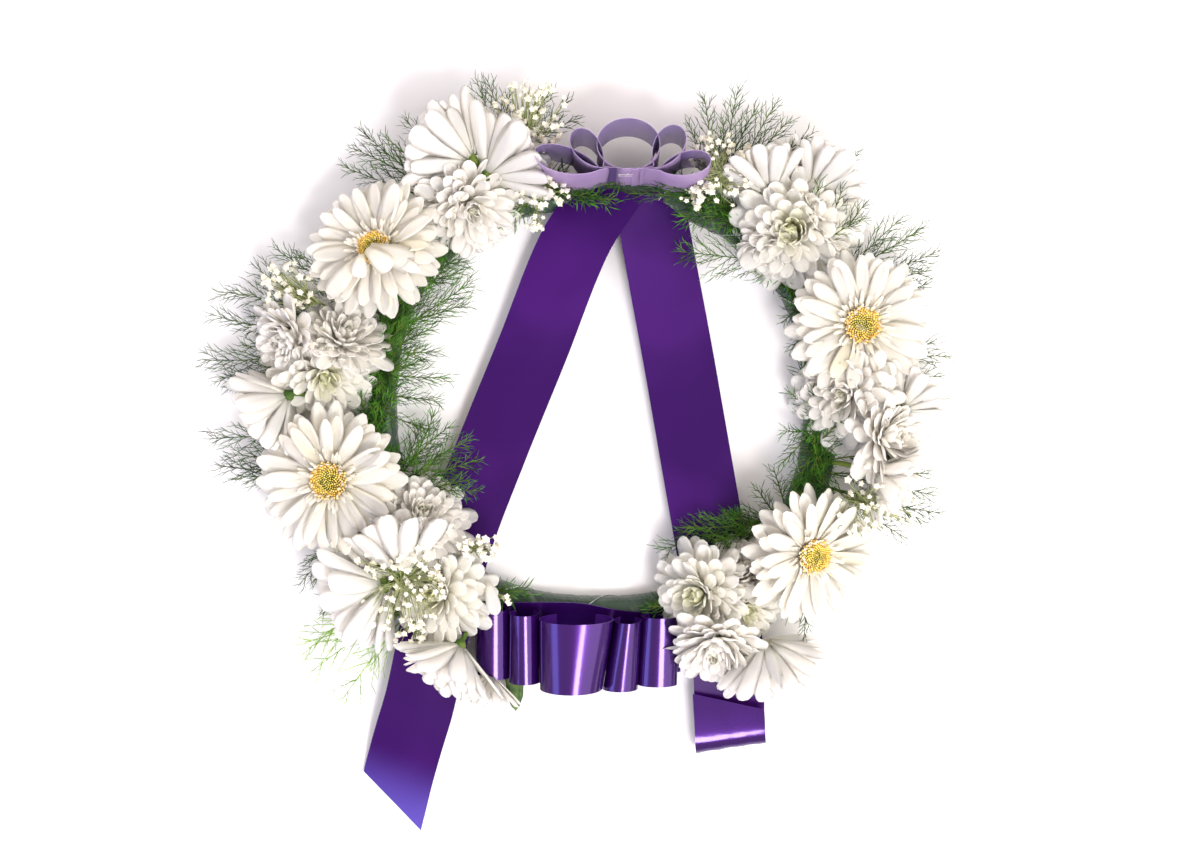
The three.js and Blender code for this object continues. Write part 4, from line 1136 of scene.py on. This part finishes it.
def onBand(angle, share, proud, lowest=0.1):
    # a point share of the way round the section, proud of it by so many millimetres
    spot = share % 1 * (len(bandCorners) - 1)
    k = min(int(spot), len(bandCorners) - 2)
    (x0, z0), (x1, z1) = bandCorners[k], bandCorners[k + 1]
    across, height = x0 + (x1 - x0) * (spot - k), z0 + (z1 - z0) * (spot - k)
    length = hypot(across, height - ring["midHeight"])
    across, height = (across * (1 + proud / length),
                      ring["midHeight"] + (height - ring["midHeight"]) * (1 + proud / length))
    return around(angle, ringReach(angle) + across, max(height, lowest))


film = {"slices": 260, "sides": 36, "step": 34, "lap": 0.5, "slant": 1.3, "crease": 0.34, "sunk": 0.4,
        "flatSides": 3, "uvAcross": 0.08}


def wrappedFilm():
    # each turn of the film laps on the last one, and creases run along the turns
    verts, faces, uvs = [], [], []
    slices, sides = film["slices"], film["sides"]
    for i in range(slices):
        angle = 2 * pi * i / slices
        for j in range(sides):
            share = j / sides
            uvs.append((angle * (ring["mean"] * mm), share * film["uvAcross"]))
            turn = angle * ring["mean"] / film["step"] + share * film["slant"]
            wave = sin(turn * 21 + 4 * sin(angle * 9)) * sin(angle * 37 + share * 11)
            proud = film["lap"] * (turn % 1) + film["crease"] * wave - film["sunk"]
            verts.append(onBand(angle, share, 0 if j < film["flatSides"] else proud))
    for i in range(slices):
        for j in range(sides):
            a, b, n = i * sides, (i + 1) % slices * sides, (j + 1) % sides
            faces.append((a + j, b + j, b + n, a + n))
    return toObject("wrappedFilm", verts, faces, uvs)


keep(painted(wrappedFilm(), wrapFilm), "wrap_film", "ring_wrap")
for name, paint in (("ring_core", dryMoss), ("bow_staple_1", steelWire), ("bow_staple_2", steelWire)):
    painted(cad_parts[name], paint)


def tubes(name, splines, radius, paint, sides=3):
    source = curveObject(name, splines)
    source.data.bevel_depth = radius
    source.data.bevel_resolution = sides
    source.data.use_fill_caps = True
    mesh = plainMesh(source)
    bpy.data.objects.remove(source)
    return painted(linked(name, mesh), paint)


wire = {"turns": 15, "points": 1400, "radius": 0.28 * mm, "proud": 0.45, "lowest": 0.5}
path = []
for i in range(wire["points"] + 1):
    share = 0.5 + wire["turns"] * i / wire["points"]
    path.append((onBand(2 * pi * i / wire["points"], share, wire["proud"], wire["lowest"]), 1.0))
keep(tubes("bindingWire", [path], wire["radius"], steelWire, 1), "steel_wire")
print("ring wrapped")

# depth under the head and width of the cup, as shares of its size; a half closed head has its cup higher up
calyx = {"depth": 0.2, "closedLess": 0.13, "cup": 0.12, "gerberaDepth": 0.14, "gerberaCup": 0.11, "bend": 4}
bowlForm = [(0, -0.22), (0.2, -0.2), (0.62, 0.25), (1, 1.15), (0.86, 1.2), (0, 0.7)]
stem = {"radius": 1.9 * mm, "footZ": 9}
blooms = [(f, neckOf(f), facingOf(f), (calyx["depth"] - calyx["closedLess"] * closedShare(f[4])) * f[2],
           calyx["cup"] * f[2]) for i, f in enumerate(chrysanthemums, 1) if i not in tuckedHeads]
blooms += [(f, heartOf(f, stance["gerberaSeat"]), f[4], calyx["gerberaDepth"] * f[2],
            calyx["gerberaCup"] * f[2]) for f in gerberas.values()]
stalks, calyxVerts, calyxFaces = [], [], []
for (angle, _, _, leanTo, _), heart, lean, depth, cup in blooms:
    facing, a = directionOf(leanTo, lean), radians(angle)
    under, foot = heart - facing * depth * mm, around(a, ringReach(a), stem["footZ"])
    stalks.append([(under, 1.0), (under.lerp(foot, 0.5) - facing * calyx["bend"] * mm, 0.95), (foot, 0.9)])
    bowl = turnedMesh("bowl", [(across * cup, height * cup) for across, height in bowlForm], 12)
    bowl.data.transform(axisPlace(under, leanTo, lean))
    calyxFaces += [tuple(c + len(calyxVerts) for c in p.vertices) for p in bowl.data.polygons]
    calyxVerts += [v.co.copy() for v in bowl.data.vertices]
    bpy.data.objects.remove(bowl)
keep(tubes("flowerStems", stalks, stem["radius"], stemGreen), "leaf")
keep(painted(toObject("calyces", calyxVerts, calyxFaces), stemGreen), "leaf")

leaf = {"form": (66, 15.5, 3, -8, 0.25, 0.12, 0), "rows": 22, "thickness": 0.6, "foot": (-62, -153, 10),
        "heading": -88}
leafProfile = [(0, 0.10), (0.25, 0.14), (0.38, 0.72), (0.46, 0.62), (0.6, 1.0), (0.7, 0.8), (0.82, 0.75),
               (0.93, 0.45), (1, 0.05)]
blade = petalObject("leafBlade", leaf["form"], leafProfile, leaf["rows"], leaf["thickness"], notch=0)
blade.data.transform(laidAt(leaf["foot"], leaf["heading"]))
keep(painted(blade, leafGreen), "leaf", "chrysanthemum_leaf")
print("stems and leaf made")


def floorPaint(graph):
    return {"Base Color": graph.blend(graph.noise(2.0), (0.94, 0.94, 0.94), (0.96, 0.96, 0.96))}


floorReach = 3000
floorCorners = [at(x * floorReach, y * floorReach, 0) for x, y in ((-1, -1), (1, -1), (1, 1), (-1, 1))]
floor = toObject("floor", floorCorners, [(0, 1, 2, 3)], smooth=False)
painted(floor, material("paleFloor", floorPaint, Roughness=0.9))

lights = {
    "keyRight": {"from": (2000, -700, 2100), "size": 3.0, "power": 60.0, "colour": (1.0, 0.99, 0.985)},
    "frontRight": {"from": (600, -1200, 2310), "size": 0.72, "power": 46.0, "colour": (1.0, 0.95, 0.97)},
    "windowLeft": {"from": (-1870, -1040, 1420), "size": 0.9, "power": 12.0, "colour": (0.36, 0.50, 1.0)},
}
for name, lamp in lights.items():
    data = bpy.data.lights.new(name, "AREA")
    data.size = lamp["size"]
    data.energy = lamp["power"]
    data.color = lamp["colour"]
    made = linked(name, data)
    made.location = at(*lamp["from"])
    made.rotation_euler = (at(0, 0, 0) - made.location).to_track_quat("-Z", "Y").to_euler()
studio = {"colour": (1.0, 0.90, 0.87), "strength": 0.89}
world = bpy.data.worlds.new("studio")
world.use_nodes = True
backdrop = world.node_tree.nodes["Background"]
backdrop.inputs["Color"].default_value = (*studio["colour"], 1)
backdrop.inputs["Strength"].default_value = studio["strength"]
bpy.context.scene.world = world
bpy.context.scene.view_settings.view_transform = "Standard"
